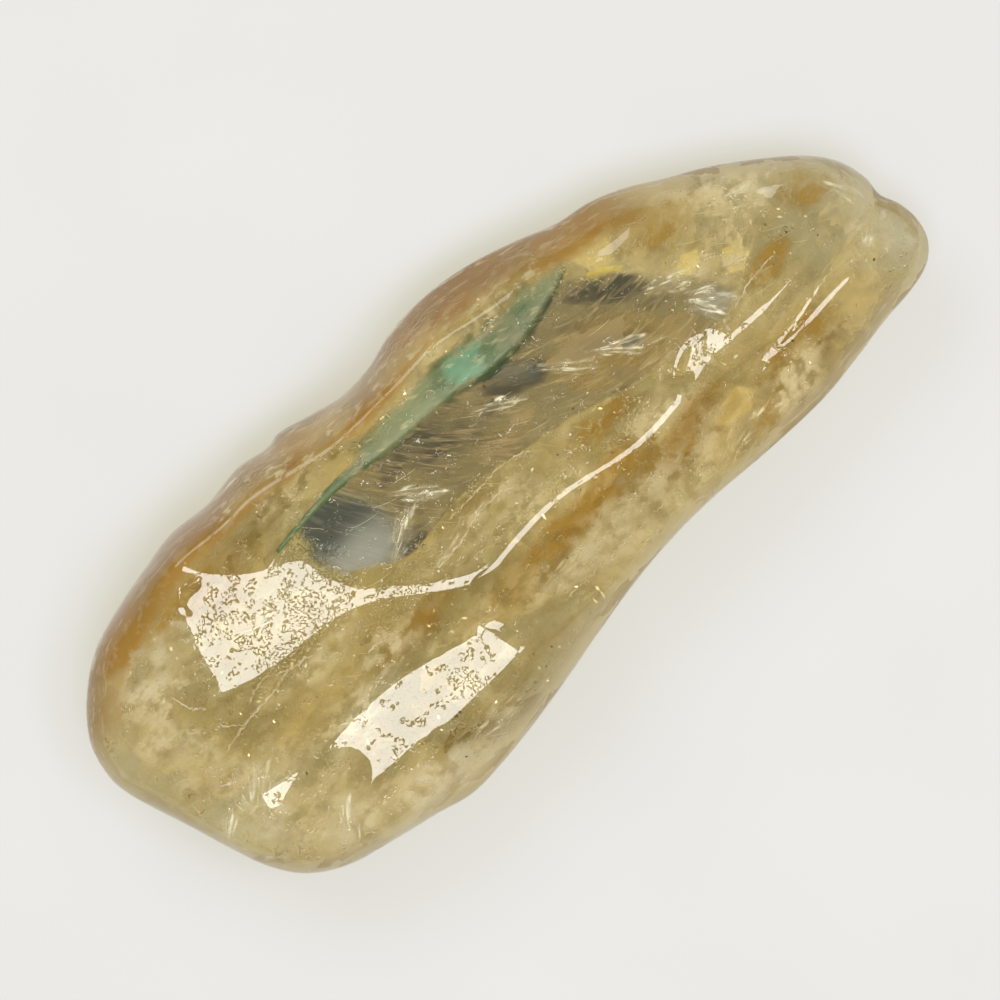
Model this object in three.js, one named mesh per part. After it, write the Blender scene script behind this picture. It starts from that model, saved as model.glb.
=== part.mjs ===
// A polished freeform piece of prasiolite, the pale green kind of quartz: one solid stone, about 65 mm long.
// It lies on a flat ground into its back. The broad end is at -X and the narrow tip at +X. The front has
// a large flat at the broad end, a wavy crest that runs from it to the tip with a terrace below it, and
// shallow shell-shaped scoops along its edges. A groove parts a small second lobe from the tip.
// Millimetres, +Z up. The origin is under the middle of the stone, on the surface that it lies on.
import * as THREE from "three";

// The outline seen from above, from the narrow tip round the +Y side to the broad end and back.
const outlinePoints = [
  [33.45, -2.2], [33.2, -0.6], [32.55, 0.75], [32.5, 2.3], [31.8, 4.2], [30.3, 5.9], [28, 7.5], [25, 9.25],
  [22, 10.6], [19.7, 11.7], [17.2, 12.45], [14.5, 12.75], [11.5, 13.6], [8, 14.3], [4.5, 14.45], [1.5, 14],
  [-1, 13.15], [-3.5, 12.8], [-6, 13.15], [-8.3, 13.55], [-9.6, 13.25], [-12, 13.45], [-15, 12.85],
  [-18, 12.85], [-21, 12.1], [-23.9, 11.2], [-26.9, 9.9], [-29.3, 7.8], [-30.9, 5.4], [-31.35, 3],
  [-31.1, 1.3], [-30.4, -0.5], [-29.3, -3], [-28.1, -5.9], [-26.9, -8.4], [-25.2, -10.4], [-22.6, -11.7],
  [-19, -12.35], [-16, -12.75], [-13.4, -13.15], [-10.5, -12.8], [-7, -12.05], [-3.5, -11.1], [0, -10.05],
  [3.5, -9.1], [7, -8.4], [11, -7.95], [16, -7.8], [21, -7.45], [24.5, -6.75], [27.5, -6], [30.2, -5.5],
  [32, -4.85], [33.1, -3.7],
];
const broadEndPoint = 29; // the outline point at the broad end, and point 0 is the narrow tip

// The rim is the line where front and back meet: its mean height, its waves, and its rounding inwards.
const rimHeight = 6.2;
const rimWave = 0.5;
const rimWaveLength = 46;
const rimWidth = 2.1;

// The faces of the front, each a plane through a point, with its rise per mm along X and along Y.
const frontFaces = [
  { name: "broad flat", at: [-16, 5, 12.7], rise: [0.06, 0.03] },
  { name: "long slope above the crest", at: [-11, 4, 12.97], rise: [-0.065, -0.01] },
  { name: "broad end slope", at: [-22.6, 3, 12.19], rise: [0.42, -0.028] },
  { name: "low corner slope", at: [-20.5, -7.6, 9.9], rise: [0.14, 0.27] },
  { name: "tip slope", at: [19, 2, 11.08], rise: [-0.14, -0.12] },
  { name: "end of the tip", at: [28, 0, 10.06], rise: [-0.5, 0.04] },
  { name: "long bevel", at: [3, 11.2, 11.84], rise: [-0.053, -0.95] },
  { name: "tip bevel", at: [22, 8, 9.94], rise: [-0.25, -0.55] },
  { name: "low bevel", at: [-10, -10.3, 10.1], rise: [-0.05, 0.95] },
  { name: "waist bevel", at: [4, -8.4, 9.2], rise: [-0.15, 1] },
];
// Below the crest the front falls steeply, and a terrace stands out of the foot of that slope.
const steepFaces = [
  { name: "slope below the broad flat", at: [-16, 1.3, 12.5], rise: [0.11, 0.37] },
  { name: "slope below the crest", at: [3.2, -2, 12.1], rise: [-0.083, 0.47] },
];
const terraceFaces = [
  { name: "terrace flat", at: [-12, -8, 10.65], rise: [0.1, 0.09] },
  { name: "terrace end", at: [-5.2, -6, 11.51], rise: [-0.33, -0.046] },
];
// The faces of the back, the same way. The first is the ground flat that the stone lies on.
const backFaces = [
  { name: "ground flat", at: [0, 0, 0], rise: [0, 0] },
  { name: "back long bevel", at: [-1, 9.3, 0], rise: [-0.1, 0.8] },
  { name: "back low bevel", at: [-8, -6.8, 0], rise: [-0.05, -0.62] },
  { name: "back waist bevel", at: [14, -4.4, 0], rise: [0.2, -0.95] },
  { name: "back broad end", at: [-21.5, 2, 0], rise: [-0.42, 0.08] },
  { name: "back broad corner", at: [-19, 7, 0], rise: [-0.32, 0.5] },
  { name: "back tip", at: [20, 2, 0], rise: [0.27, 0.1] },
];
const edgeRounding = 0.3; // the height range over which one face rolls into the next
const crestRounding = 0.3; // the same along the crest
const leastRise = 0.6; // the faces of the front stay at least this far above the rim

// The front steps down across the line between the tip's two lobes.
const lobeStep = { path: [[17, -2.6], [33, 1]], drop: 0.5, width: 2.2, fade: 2.5 };

// Shell-shaped scoops in the front: centre, half lengths along and across, the way they lie, depth.
const scoops = [
  { at: [-11.6, 13.2], reach: [7, 6.2], turn: 0, depth: 0.9 },
  { at: [-6.2, 14], reach: [3.4, 3.2], turn: 0.1, depth: 0.7 },
  { at: [-0.4, 14.2], reach: [4.2, 3.4], turn: -0.1, depth: 0.6 },
  { at: [7.5, 14.8], reach: [6.5, 3.6], turn: -0.05, depth: 0.5 },
  { at: [15.8, 12.8], reach: [4.2, 3.8], turn: -0.35, depth: 0.7 },
  { at: [24.5, 9.2], reach: [6, 3.8], turn: -0.5, depth: 0.4 },
  { at: [3, 6], reach: [13.2, 5.4], turn: 0.08, depth: 0.25 },
  { at: [-27.4, -3.6], reach: [2.6, 3.6], turn: 0.5, depth: 0.4 },
  { at: [-21.2, -7.4], reach: [4, 2.2], turn: 0.25, depth: 0.33 },
  { at: [1.6, -7.9], reach: [6, 4], turn: 0.2, depth: 0.4 },
  { at: [13.5, -5.6], reach: [5.5, 2.6], turn: 0.06, depth: 0.35 },
  { at: [-25.5, 6.5], reach: [3.5, 4.5], turn: 0.3, depth: 0.3 },
  { at: [16.1, -0.8], reach: [2.5, 1.8], turn: 0.5, depth: 0.33 },
];
const scoopEdge = 0.25; // how softly a scoop's edge rolls over: 0 is sharp
// The groove in the front of the tip: the points that it follows, its width and its depth.
const tipGroove = {
  path: [[17, -2.1], [22, -1.8], [27.5, -1], [30.5, 0], [33.4, 1.6]],
  width: 1,
  depth: 0.5,
};
// Slow waves that tumbling leaves in every face: height, and waves per mm along X and along Y.
const ripples = [
  { height: 0.022, along: 0.41, across: 0.23, start: 0.4 },
  { height: 0.014, along: -0.33, across: 0.71, start: 2.1 },
  { height: 0.006, along: 0.95, across: -0.62, start: 4 },
];
const edgeWander = { width: 0.38, along: 0.42, start: 0.5 }; // sways the long edges from side to side

// How the surface is divided: stations along the stone, and points round each of them.
const stations = 84;
const pointsRound = 44;
const outlineSamples = 600; // used to step evenly along each side of the outline
const endCrowding = 0.55; // how much closer together the stations lie near the ends
const rimCrowding = 0.6; // how much closer together the points of a station lie near the rim

const clamp = (value, low, high) => Math.min(high, Math.max(low, value));
const mix = (a, b, share) => a + (b - a) * share;
const smooth = (share) => share * share * (3 - 2 * share);
const crowd = (even, crowding) => mix(even, (1 - Math.cos(Math.PI * even)) / 2, crowding);

// The lower of two heights, rolled over within the range given.
function softMin(a, b, range) {
  const near = Math.max(range - Math.abs(a - b), 0) / range;
  return Math.min(a, b) - (near * near * range) / 4;
}

const softMax = (a, b, range) => -softMin(-a, -b, range);

const faceHeight = ({ at, rise }, x, y) => at[2] + rise[0] * (x - at[0]) + rise[1] * (y - at[1]);

const lowest = (faces, x, y) =>
  faces.map((face) => faceHeight(face, x, y)).reduce((a, b) => softMin(a, b, edgeRounding));

const highest = (faces, x, y) =>
  faces.map((face) => faceHeight(face, x, y)).reduce((a, b) => softMax(a, b, edgeRounding));

function stepDepth({ path, drop, width, fade }, x, y) {
  const [[startX, startY], [endX, endY]] = path;
  const length = Math.hypot(endX - startX, endY - startY);
  const [dirX, dirY] = [(endX - startX) / length, (endY - startY) / length];
  const along = (x - startX) * dirX + (y - startY) * dirY;
  const across = (y - startY) * dirX - (x - startX) * dirY;
  const below = clamp(0.5 - across / width, 0, 1);
  const beside = clamp(1 - Math.max(along - length, -along) / fade, 0, 1);
  return drop * smooth(below) * smooth(beside);
}

function scoopDepth({ at, reach, turn, depth }, x, y) {
  const along = (x - at[0]) * Math.cos(turn) + (y - at[1]) * Math.sin(turn);
  const across = (y - at[1]) * Math.cos(turn) - (x - at[0]) * Math.sin(turn);
  const out = (along / reach[0]) ** 2 + (across / reach[1]) ** 2;
  return depth * Math.max(0, -softMin(0, out - 1, scoopEdge));
}

function distanceToPath(path, x, y) {
  let nearest = Infinity;
  for (let i = 1; i < path.length; i++) {
    const [ax, ay] = path[i - 1];
    const [bx, by] = path[i];
    const length2 = (bx - ax) ** 2 + (by - ay) ** 2;
    const share = clamp(((x - ax) * (bx - ax) + (y - ay) * (by - ay)) / length2, 0, 1);
    nearest = Math.min(nearest, Math.hypot(x - mix(ax, bx, share), y - mix(ay, by, share)));
  }
  return nearest;
}

const grooveDepth = ({ path, width, depth }, x, y) =>
  depth * Math.exp(-((distanceToPath(path, x, y) / width) ** 2));

const rippleHeight = ({ height, along, across, start }, x, y) =>
  height * Math.sin(along * x + across * y + start);

function frontHeight(x, y) {
  const swayed = y - edgeWander.width * Math.sin(edgeWander.along * x + edgeWander.start);
  const steep = softMax(lowest(steepFaces, x, swayed), lowest(terraceFaces, x, swayed), edgeRounding);
  let z = softMin(lowest(frontFaces, x, swayed), steep, crestRounding);
  z -= stepDepth(lobeStep, x, y);
  for (const scoop of scoops) z -= scoopDepth(scoop, x, y);
  z -= grooveDepth(tipGroove, x, y);
  for (const ripple of ripples) z += rippleHeight(ripple, x, y);
  return z;
}

const backHeight = (x, y) => highest(backFaces, x, y);

const rimAt = (x) => rimHeight + rimWave * Math.sin((2 * Math.PI * x) / rimWaveLength);

// The surface over a point of the outline's inside: front or back, rounded down to the rim near the outline.
function surfaceHeight(isFront, x, y, fromOutline) {
  const inwards = Math.min(1, fromOutline / rimWidth);
  const fullness = Math.sqrt(1 - (1 - inwards) ** 2);
  const rim = rimAt(x);
  const face = isFront ? softMax(frontHeight(x, y), rim + leastRise, edgeRounding) : backHeight(x, y);
  return mix(rim, face, fullness);
}

// Points along one side of the outline, with the lengths up to each.
function sampleSide(curve, from, to) {
  const points = [];
  for (let i = 0; i <= outlineSamples; i++) {
    const turn = mix(from, to, i / outlineSamples);
    const { x, y } = curve.getPoint(turn - Math.floor(turn));
    points.push([x, y]);
  }
  const lengths = [0];
  for (let i = 1; i < points.length; i++) {
    const step = Math.hypot(points[i][0] - points[i - 1][0], points[i][1] - points[i - 1][1]);
    lengths.push(lengths[i - 1] + step);
  }
  return { points, lengths };
}

function pointAlong({ points, lengths }, share) {
  const wanted = share * lengths[lengths.length - 1];
  let i = 1;
  while (i < lengths.length - 1 && lengths[i] < wanted) i++;
  const part = (wanted - lengths[i - 1]) / (lengths[i] - lengths[i - 1]);
  return [0, 1].map((axis) => mix(points[i - 1][axis], points[i][axis], part));
}

// The closed surface: a ring of points at each station, and one point at each end.
function stoneGeometry() {
  const corners = outlinePoints.map(([x, y]) => new THREE.Vector3(x, y, 0));
  const curve = new THREE.CatmullRomCurve3(corners, true, "catmullrom", 0.5);
  const broadEnd = broadEndPoint / outlinePoints.length;
  const farSide = sampleSide(curve, 0, broadEnd);
  const nearSide = sampleSide(curve, 1, broadEnd);
  const outline = [...farSide.points, ...nearSide.points.toReversed().slice(1)];

  const [tipX, tipY] = outlinePoints[0];
  const [broadX, broadY] = outlinePoints[broadEndPoint];
  const pointsAcross = pointsRound / 2;
  const positions = [tipX, tipY, rimAt(tipX)];
  for (let i = 1; i < stations; i++) {
    const share = crowd(i / stations, endCrowding);
    const far = pointAlong(farSide, share);
    const near = pointAlong(nearSide, share);
    for (let j = 0; j < pointsRound; j++) {
      const isFront = j < pointsAcross;
      const [start, end] = isFront ? [far, near] : [near, far];
      const across = crowd((j % pointsAcross) / pointsAcross, rimCrowding);
      const [x, y] = [0, 1].map((axis) => mix(start[axis], end[axis], across));
      const fromOutline = across === 0 ? 0 : distanceToPath(outline, x, y);
      positions.push(x, y, surfaceHeight(isFront, x, y, fromOutline));
    }
  }
  positions.push(broadX, broadY, rimAt(broadX));

  const triangles = [];
  const lastPoint = positions.length / 3 - 1;
  const ringPoint = (i, j) => 1 + i * pointsRound + (j % pointsRound);
  const rings = stations - 1;
  for (let j = 0; j < pointsRound; j++) {
    triangles.push(0, ringPoint(0, j), ringPoint(0, j + 1));
    triangles.push(lastPoint, ringPoint(rings - 1, j + 1), ringPoint(rings - 1, j));
    for (let i = 0; i < rings - 1; i++) {
      const [a, b] = [ringPoint(i, j), ringPoint(i, j + 1)];
      const [c, d] = [ringPoint(i + 1, j), ringPoint(i + 1, j + 1)];
      triangles.push(a, c, d, a, d, b);
    }
  }
  const geometry = new THREE.BufferGeometry();
  geometry.setAttribute("position", new THREE.Float32BufferAttribute(positions, 3));
  geometry.setIndex(triangles);
  geometry.computeBoundingBox();
  const middle = geometry.boundingBox.getCenter(new THREE.Vector3());
  geometry.translate(-middle.x, -middle.y, -geometry.boundingBox.min.z);
  geometry.computeVertexNormals();
  return geometry;
}

const prasiolite = new THREE.MeshStandardMaterial({
  color: 0xb9ad7c,
  roughness: 0.05,
  metalness: 0,
  transparent: true,
  opacity: 0.6,
});

const stone = new THREE.Mesh(stoneGeometry(), prasiolite);
stone.name = "prasiolite_stone";

const part = new THREE.Group();
part.add(stone);
export default part;
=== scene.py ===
# A polished freeform piece of prasiolite lying on a pale table, under three soft studio lamps.
# The stone's own numbers are millimetres from the middle of its length, and the meshes are metres.
import math

import bpy
import numpy as np
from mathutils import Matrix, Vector


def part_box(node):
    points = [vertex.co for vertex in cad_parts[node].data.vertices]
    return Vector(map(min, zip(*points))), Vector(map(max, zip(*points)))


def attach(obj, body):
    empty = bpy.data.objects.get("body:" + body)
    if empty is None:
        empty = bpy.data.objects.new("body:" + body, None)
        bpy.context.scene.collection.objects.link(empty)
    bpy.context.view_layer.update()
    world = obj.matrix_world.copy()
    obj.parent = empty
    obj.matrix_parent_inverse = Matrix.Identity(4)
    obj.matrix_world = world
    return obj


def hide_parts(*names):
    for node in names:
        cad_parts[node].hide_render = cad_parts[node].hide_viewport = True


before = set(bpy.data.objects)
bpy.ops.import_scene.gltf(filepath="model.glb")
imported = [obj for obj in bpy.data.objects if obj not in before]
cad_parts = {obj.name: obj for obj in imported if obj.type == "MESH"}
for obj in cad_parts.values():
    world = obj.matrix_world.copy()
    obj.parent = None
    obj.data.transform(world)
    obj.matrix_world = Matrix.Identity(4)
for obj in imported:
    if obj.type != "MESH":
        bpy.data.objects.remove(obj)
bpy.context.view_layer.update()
stoneNode = "prasiolite_stone"
stoneLow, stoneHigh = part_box(stoneNode)
scene = bpy.context.scene
mm = 0.001

scene.view_settings.view_transform = "Standard"
scene.cycles.max_bounces = 6
scene.cycles.transmission_bounces = 6
scene.cycles.diffuse_bounces = 2
scene.cycles.transparent_max_bounces = 32  # the veils inside lie many layers deep
scene.cycles.sample_clamp_indirect = 6.0
scene.cycles.use_light_tree = False  # quicker with so few lamps


# The form of the stone: the same faces, scoops and grooves as in the solid, made finer here.
form = {
    "outline": [  # seen from above, from the narrow tip round the far side to the broad end and back
        (33.45, -2.2), (33.2, -0.6), (32.55, 0.75), (32.5, 2.3), (31.8, 4.2), (30.3, 5.9), (28, 7.5),
        (25, 9.25), (22, 10.6), (19.7, 11.7), (17.2, 12.45), (14.5, 12.75), (11.5, 13.6), (8, 14.3),
        (4.5, 14.45), (1.5, 14), (-1, 13.15), (-3.5, 12.8), (-6, 13.15), (-8.3, 13.55), (-9.6, 13.25),
        (-12, 13.45), (-15, 12.85), (-18, 12.85), (-21, 12.1), (-23.9, 11.2), (-26.9, 9.9), (-29.3, 7.8),
        (-30.9, 5.4), (-31.35, 3), (-31.1, 1.3), (-30.4, -0.5), (-29.3, -3), (-28.1, -5.9), (-26.9, -8.4),
        (-25.2, -10.4), (-22.6, -11.7), (-19, -12.35), (-16, -12.75), (-13.4, -13.15), (-10.5, -12.8),
        (-7, -12.05), (-3.5, -11.1), (0, -10.05), (3.5, -9.1), (7, -8.4), (11, -7.95), (16, -7.8),
        (21, -7.45), (24.5, -6.75), (27.5, -6), (30.2, -5.5), (32, -4.85), (33.1, -3.7),
    ],
    "broadEndPoint": 29,  # the outline's point at the middle of the broad end
    "rimHeight": 6.2,
    "rimWave": 0.5,
    "rimWaveLength": 46,
    "rimWidth": 2.1,
    "frontFaces": [  # a point of each face, and its rise along and across the stone
        ((-16, 5, 12.7), (0.06, 0.03)),  # broad flat
        ((-11, 4, 12.97), (-0.065, -0.01)),  # long slope above the crest
        ((-22.6, 3, 12.19), (0.42, -0.028)),  # broad end slope
        ((-20.5, -7.6, 9.9), (0.14, 0.27)),  # low corner slope
        ((19, 2, 11.08), (-0.14, -0.12)),  # tip slope
        ((28, 0, 10.06), (-0.5, 0.04)),  # end of the tip
        ((3, 11.2, 11.84), (-0.053, -0.95)),  # long bevel
        ((22, 8, 9.94), (-0.25, -0.55)),  # tip bevel
        ((-10, -10.3, 10.1), (-0.05, 0.95)),  # low bevel
        ((4, -8.4, 9.2), (-0.15, 1)),  # waist bevel
    ],
    "steepFaces": [((-16, 1.3, 12.5), (0.11, 0.37)), ((3.2, -2, 12.1), (-0.083, 0.47))],
    "terraceFaces": [((-12, -8, 10.65), (0.1, 0.09)), ((-5.2, -6, 11.51), (-0.33, -0.046))],
    "backFaces": [
        ((0, 0, 0), (0, 0)),  # the ground flat that it lies on
        ((-1, 9.3, 0), (-0.1, 0.8)),
        ((-8, -6.8, 0), (-0.05, -0.62)),
        ((14, -4.4, 0), (0.2, -0.95)),
        ((-21.5, 2, 0), (-0.42, 0.08)),
        ((-19, 7, 0), (-0.32, 0.5)),
        ((20, 2, 0), (0.27, 0.1)),
    ],
    "edgeRounding": 0.3,
    "crestRounding": 0.3,
    "leastRise": 0.6,
    "lobeStep": {"start": (17, -2.6), "end": (33, 1), "drop": 0.5, "width": 2.2, "fade": 2.5},
    "scoops": [  # middle, half lengths, the way it lies, depth
        ((-11.6, 13.2), (7, 6.2), 0, 0.9), ((-6.2, 14), (3.4, 3.2), 0.1, 0.7),
        ((-0.4, 14.2), (4.2, 3.4), -0.1, 0.6), ((7.5, 14.8), (6.5, 3.6), -0.05, 0.5),
        ((15.8, 12.8), (4.2, 3.8), -0.35, 0.7), ((24.5, 9.2), (6, 3.8), -0.5, 0.4),
        ((3, 6), (13.2, 5.4), 0.08, 0.25), ((-27.4, -3.6), (2.6, 3.6), 0.5, 0.4),
        ((-21.2, -7.4), (4, 2.2), 0.25, 0.33), ((1.6, -7.9), (6, 4), 0.2, 0.4),
        ((13.5, -5.6), (5.5, 2.6), 0.06, 0.35), ((-25.5, 6.5), (3.5, 4.5), 0.3, 0.3),
        ((16.1, -0.8), (2.5, 1.8), 0.5, 0.33),
    ],
    "scoopEdge": 0.25,
    "tipGroove": {
        "path": ((17, -2.1), (22, -1.8), (27.5, -1), (30.5, 0), (33.4, 1.6)), "width": 1, "depth": 0.5,
    },
    "ripples": [  # height, waves along and across, start
        (0.022, 0.41, 0.23, 0.4), (0.014, -0.33, 0.71, 2.1), (0.006, 0.95, -0.62, 4),
    ],
    "sway": (0.38, 0.42, 0.5),  # how far the long edges sway, waves along, start
    "outlineSteps": 600,
    "endCrowding": 0.55,  # how much closer the points lie at the ends
    "rimCrowding": 0.6,  # and at the rim
}


def mix(a, b, share):
    return a + (b - a) * share


def smooth(share):
    return share * share * (3 - 2 * share)


def fadeIn(value, low, high):
    return smooth(np.clip((value - low) / (high - low), 0, 1))


def crowd(even, crowding):
    return mix(even, (1 - np.cos(np.pi * even)) / 2, crowding)


def softMin(a, b, reach):
    near = np.maximum(reach - np.abs(a - b), 0) / reach
    return np.minimum(a, b) - near * near * reach / 4


def softMax(a, b, reach):
    return -softMin(-a, -b, reach)


def faceHeights(faces, x, y):
    return [at[2] + rise[0] * (x - at[0]) + rise[1] * (y - at[1]) for at, rise in faces]


def lowestFace(faces, x, y, join=softMin):
    z, *others = faceHeights(faces, x, y)
    for height in others:
        z = join(z, height, form["edgeRounding"])
    return z


def ovalDistance(x, y, atX, atY, halfLength, halfWidth, turn):
    # from an oval's middle, squared, and 1 on its border
    along = (x - atX) * math.cos(turn) + (y - atY) * math.sin(turn)
    across = (y - atY) * math.cos(turn) - (x - atX) * math.sin(turn)
    return (along / halfLength) ** 2 + (across / halfWidth) ** 2


def distanceToPath(path, x, y):
    start = np.array(path[:-1], float)
    step = np.array(path[1:], float) - start
    length2 = (step ** 2).sum(1)
    x, y = np.asarray(x, float), np.asarray(y, float)
    flat = np.stack([x.ravel(), y.ravel()], 1)
    nearest = np.empty(len(flat))
    chunk = 4000  # keeps the memory small
    for first in range(0, len(flat), chunk):
        off = flat[first:first + chunk, None] - start
        share = np.clip((off * step).sum(2) / length2, 0, 1)
        gap = off - share[..., None] * step
        nearest[first:first + chunk] = np.sqrt((gap ** 2).sum(2).min(1))
    return nearest.reshape(x.shape)


def lobeStepDepth(x, y):
    step = form["lobeStep"]
    start, end = np.array(step["start"]), np.array(step["end"])
    length = np.linalg.norm(end - start)
    dirX, dirY = (end - start) / length
    along = (x - start[0]) * dirX + (y - start[1]) * dirY
    across = (y - start[1]) * dirX - (x - start[0]) * dirY
    below = np.clip(0.5 - across / step["width"], 0, 1)
    beside = np.clip(1 - np.maximum(along - length, -along) / step["fade"], 0, 1)
    return step["drop"] * smooth(below) * smooth(beside)


def swayedAcross(x, y):
    width, waves, start = form["sway"]
    return y - width * np.sin(waves * x + start)


def frontHeight(x, y):
    swayed = swayedAcross(x, y)
    rounding = form["edgeRounding"]
    steep = softMax(
        lowestFace(form["steepFaces"], x, swayed), lowestFace(form["terraceFaces"], x, swayed), rounding
    )
    z = softMin(lowestFace(form["frontFaces"], x, swayed), steep, form["crestRounding"])
    z = z - lobeStepDepth(x, y)
    for middle, reach, turn, depth in form["scoops"]:
        out = ovalDistance(x, y, *middle, *reach, turn)
        z = z - depth * np.maximum(0, -softMin(np.zeros_like(out), out - 1, form["scoopEdge"]))
    groove = form["tipGroove"]
    z = z - groove["depth"] * np.exp(-(distanceToPath(groove["path"], x, y) / groove["width"]) ** 2)
    for height, along, across, start in form["ripples"]:
        z = z + height * np.sin(along * x + across * y + start)
    return softMax(z, rimAt(x) + form["leastRise"], rounding)


def backHeight(x, y):
    return lowestFace(form["backFaces"], x, y, softMax)


def rimAt(x):
    return form["rimHeight"] + form["rimWave"] * np.sin(2 * np.pi * x / form["rimWaveLength"])


def curveThrough(points, turns):
    # a smooth closed curve through the points, where turns counts points
    points = np.array(points, float)
    first = np.floor(turns).astype(int)
    share = (turns - first)[:, None]
    before, a, b, after = (points[(first + step) % len(points)] for step in (-1, 0, 1, 2))
    leave, arrive = (b - before) / 2, (after - a) / 2
    return (
        (2 * a - 2 * b + leave + arrive) * share ** 3
        + (-3 * a + 3 * b - 2 * leave - arrive) * share ** 2 + leave * share + a
    )


def outlineSide(fromPoint, toPoint, shares):
    points = curveThrough(form["outline"], np.linspace(fromPoint, toPoint, form["outlineSteps"] + 1))
    lengths = np.concatenate([[0], np.cumsum(np.linalg.norm(np.diff(points, axis=0), axis=1))])
    wanted = shares * lengths[-1]
    return np.stack([np.interp(wanted, lengths, points[:, axis]) for axis in (0, 1)], 1)


allRound = np.linspace(0, len(form["outline"]), 2 * form["outlineSteps"] + 1)
outlineLine = curveThrough(form["outline"], allRound)


def surfaceHeight(isFront, x, y, line=None):
    line = outlineLine if line is None else line
    inwards = np.minimum(1, distanceToPath(line, x, y) / form["rimWidth"])
    fullness = np.sqrt(1 - (1 - inwards) ** 2)
    face = np.where(isFront, frontHeight(x, y), backHeight(x, y))
    return mix(rimAt(x), face, fullness)


def stoneSurface(stations, around):
    share = crowd(np.arange(1, stations) / stations, form["endCrowding"])
    far = outlineSide(0, form["broadEndPoint"], share)
    near = outlineSide(len(form["outline"]), form["broadEndPoint"], share)
    half = around // 2
    across = crowd(np.arange(half) / half, form["rimCrowding"])
    across = np.concatenate([across, 1 - across])[None, :]
    isFront = np.broadcast_to((np.arange(around) < half)[None, :], (stations - 1, around))
    x = mix(far[:, 0:1], near[:, 0:1], across)
    y = mix(far[:, 1:2], near[:, 1:2], across)
    z = surfaceHeight(isFront, x, y)
    onRim = [0, half]
    z[:, onRim] = rimAt(x[:, onRim])
    rings = np.stack([x, y, z], -1).reshape(-1, 3)
    tip, broad = (np.array([*form["outline"][i], 0.0]) for i in (0, form["broadEndPoint"]))
    tip[2], broad[2] = rimAt(tip[0]), rimAt(broad[0])
    points = np.concatenate([[tip], rings, [broad]])

    last, lastRing = len(points) - 1, stations - 2
    faces = []
    for j in range(around):
        nextJ = (j + 1) % around
        faces.append((0, 1 + j, 1 + nextJ))
        faces.append((last, 1 + lastRing * around + nextJ, 1 + lastRing * around + j))
        for i in range(lastRing):
            here, there = 1 + i * around, 1 + (i + 1) * around
            faces.append((here + j, there + j, there + nextJ, here + nextJ))
    return points, faces


stonePoints, stoneFaces = stoneSurface(stations=420, around=198)
formLow, formHigh = stonePoints.min(0), stonePoints.max(0)


def toFrame(points):
    # from the form's millimetres to the frame's metres, so that the form fills the solid's box exactly
    shares = (np.asarray(points, float) - formLow) / (formHigh - formLow)
    low, high = np.array(stoneLow), np.array(stoneHigh)
    return low + shares * (high - low)


def makePiece(name, points, faces, material, amounts=None):
    mesh = bpy.data.meshes.new(name)
    mesh.from_pydata(toFrame(points).tolist(), [], faces)
    mesh.polygons.foreach_set("use_smooth", [True] * len(faces))
    mesh.materials.append(material)
    for amountName, values in (amounts or {}).items():
        mesh.attributes.new(amountName, "FLOAT", "POINT").data.foreach_set("value", np.asarray(values, "f"))
    mesh.update()
    piece = bpy.data.objects.new(name, mesh)
    scene.collection.objects.link(piece)
    return piece


def lieInside(piece):
    # light on its way in or out passes what lies inside the stone, and only the eye meets it
    piece.visible_shadow = False
    piece.visible_diffuse = False


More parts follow.
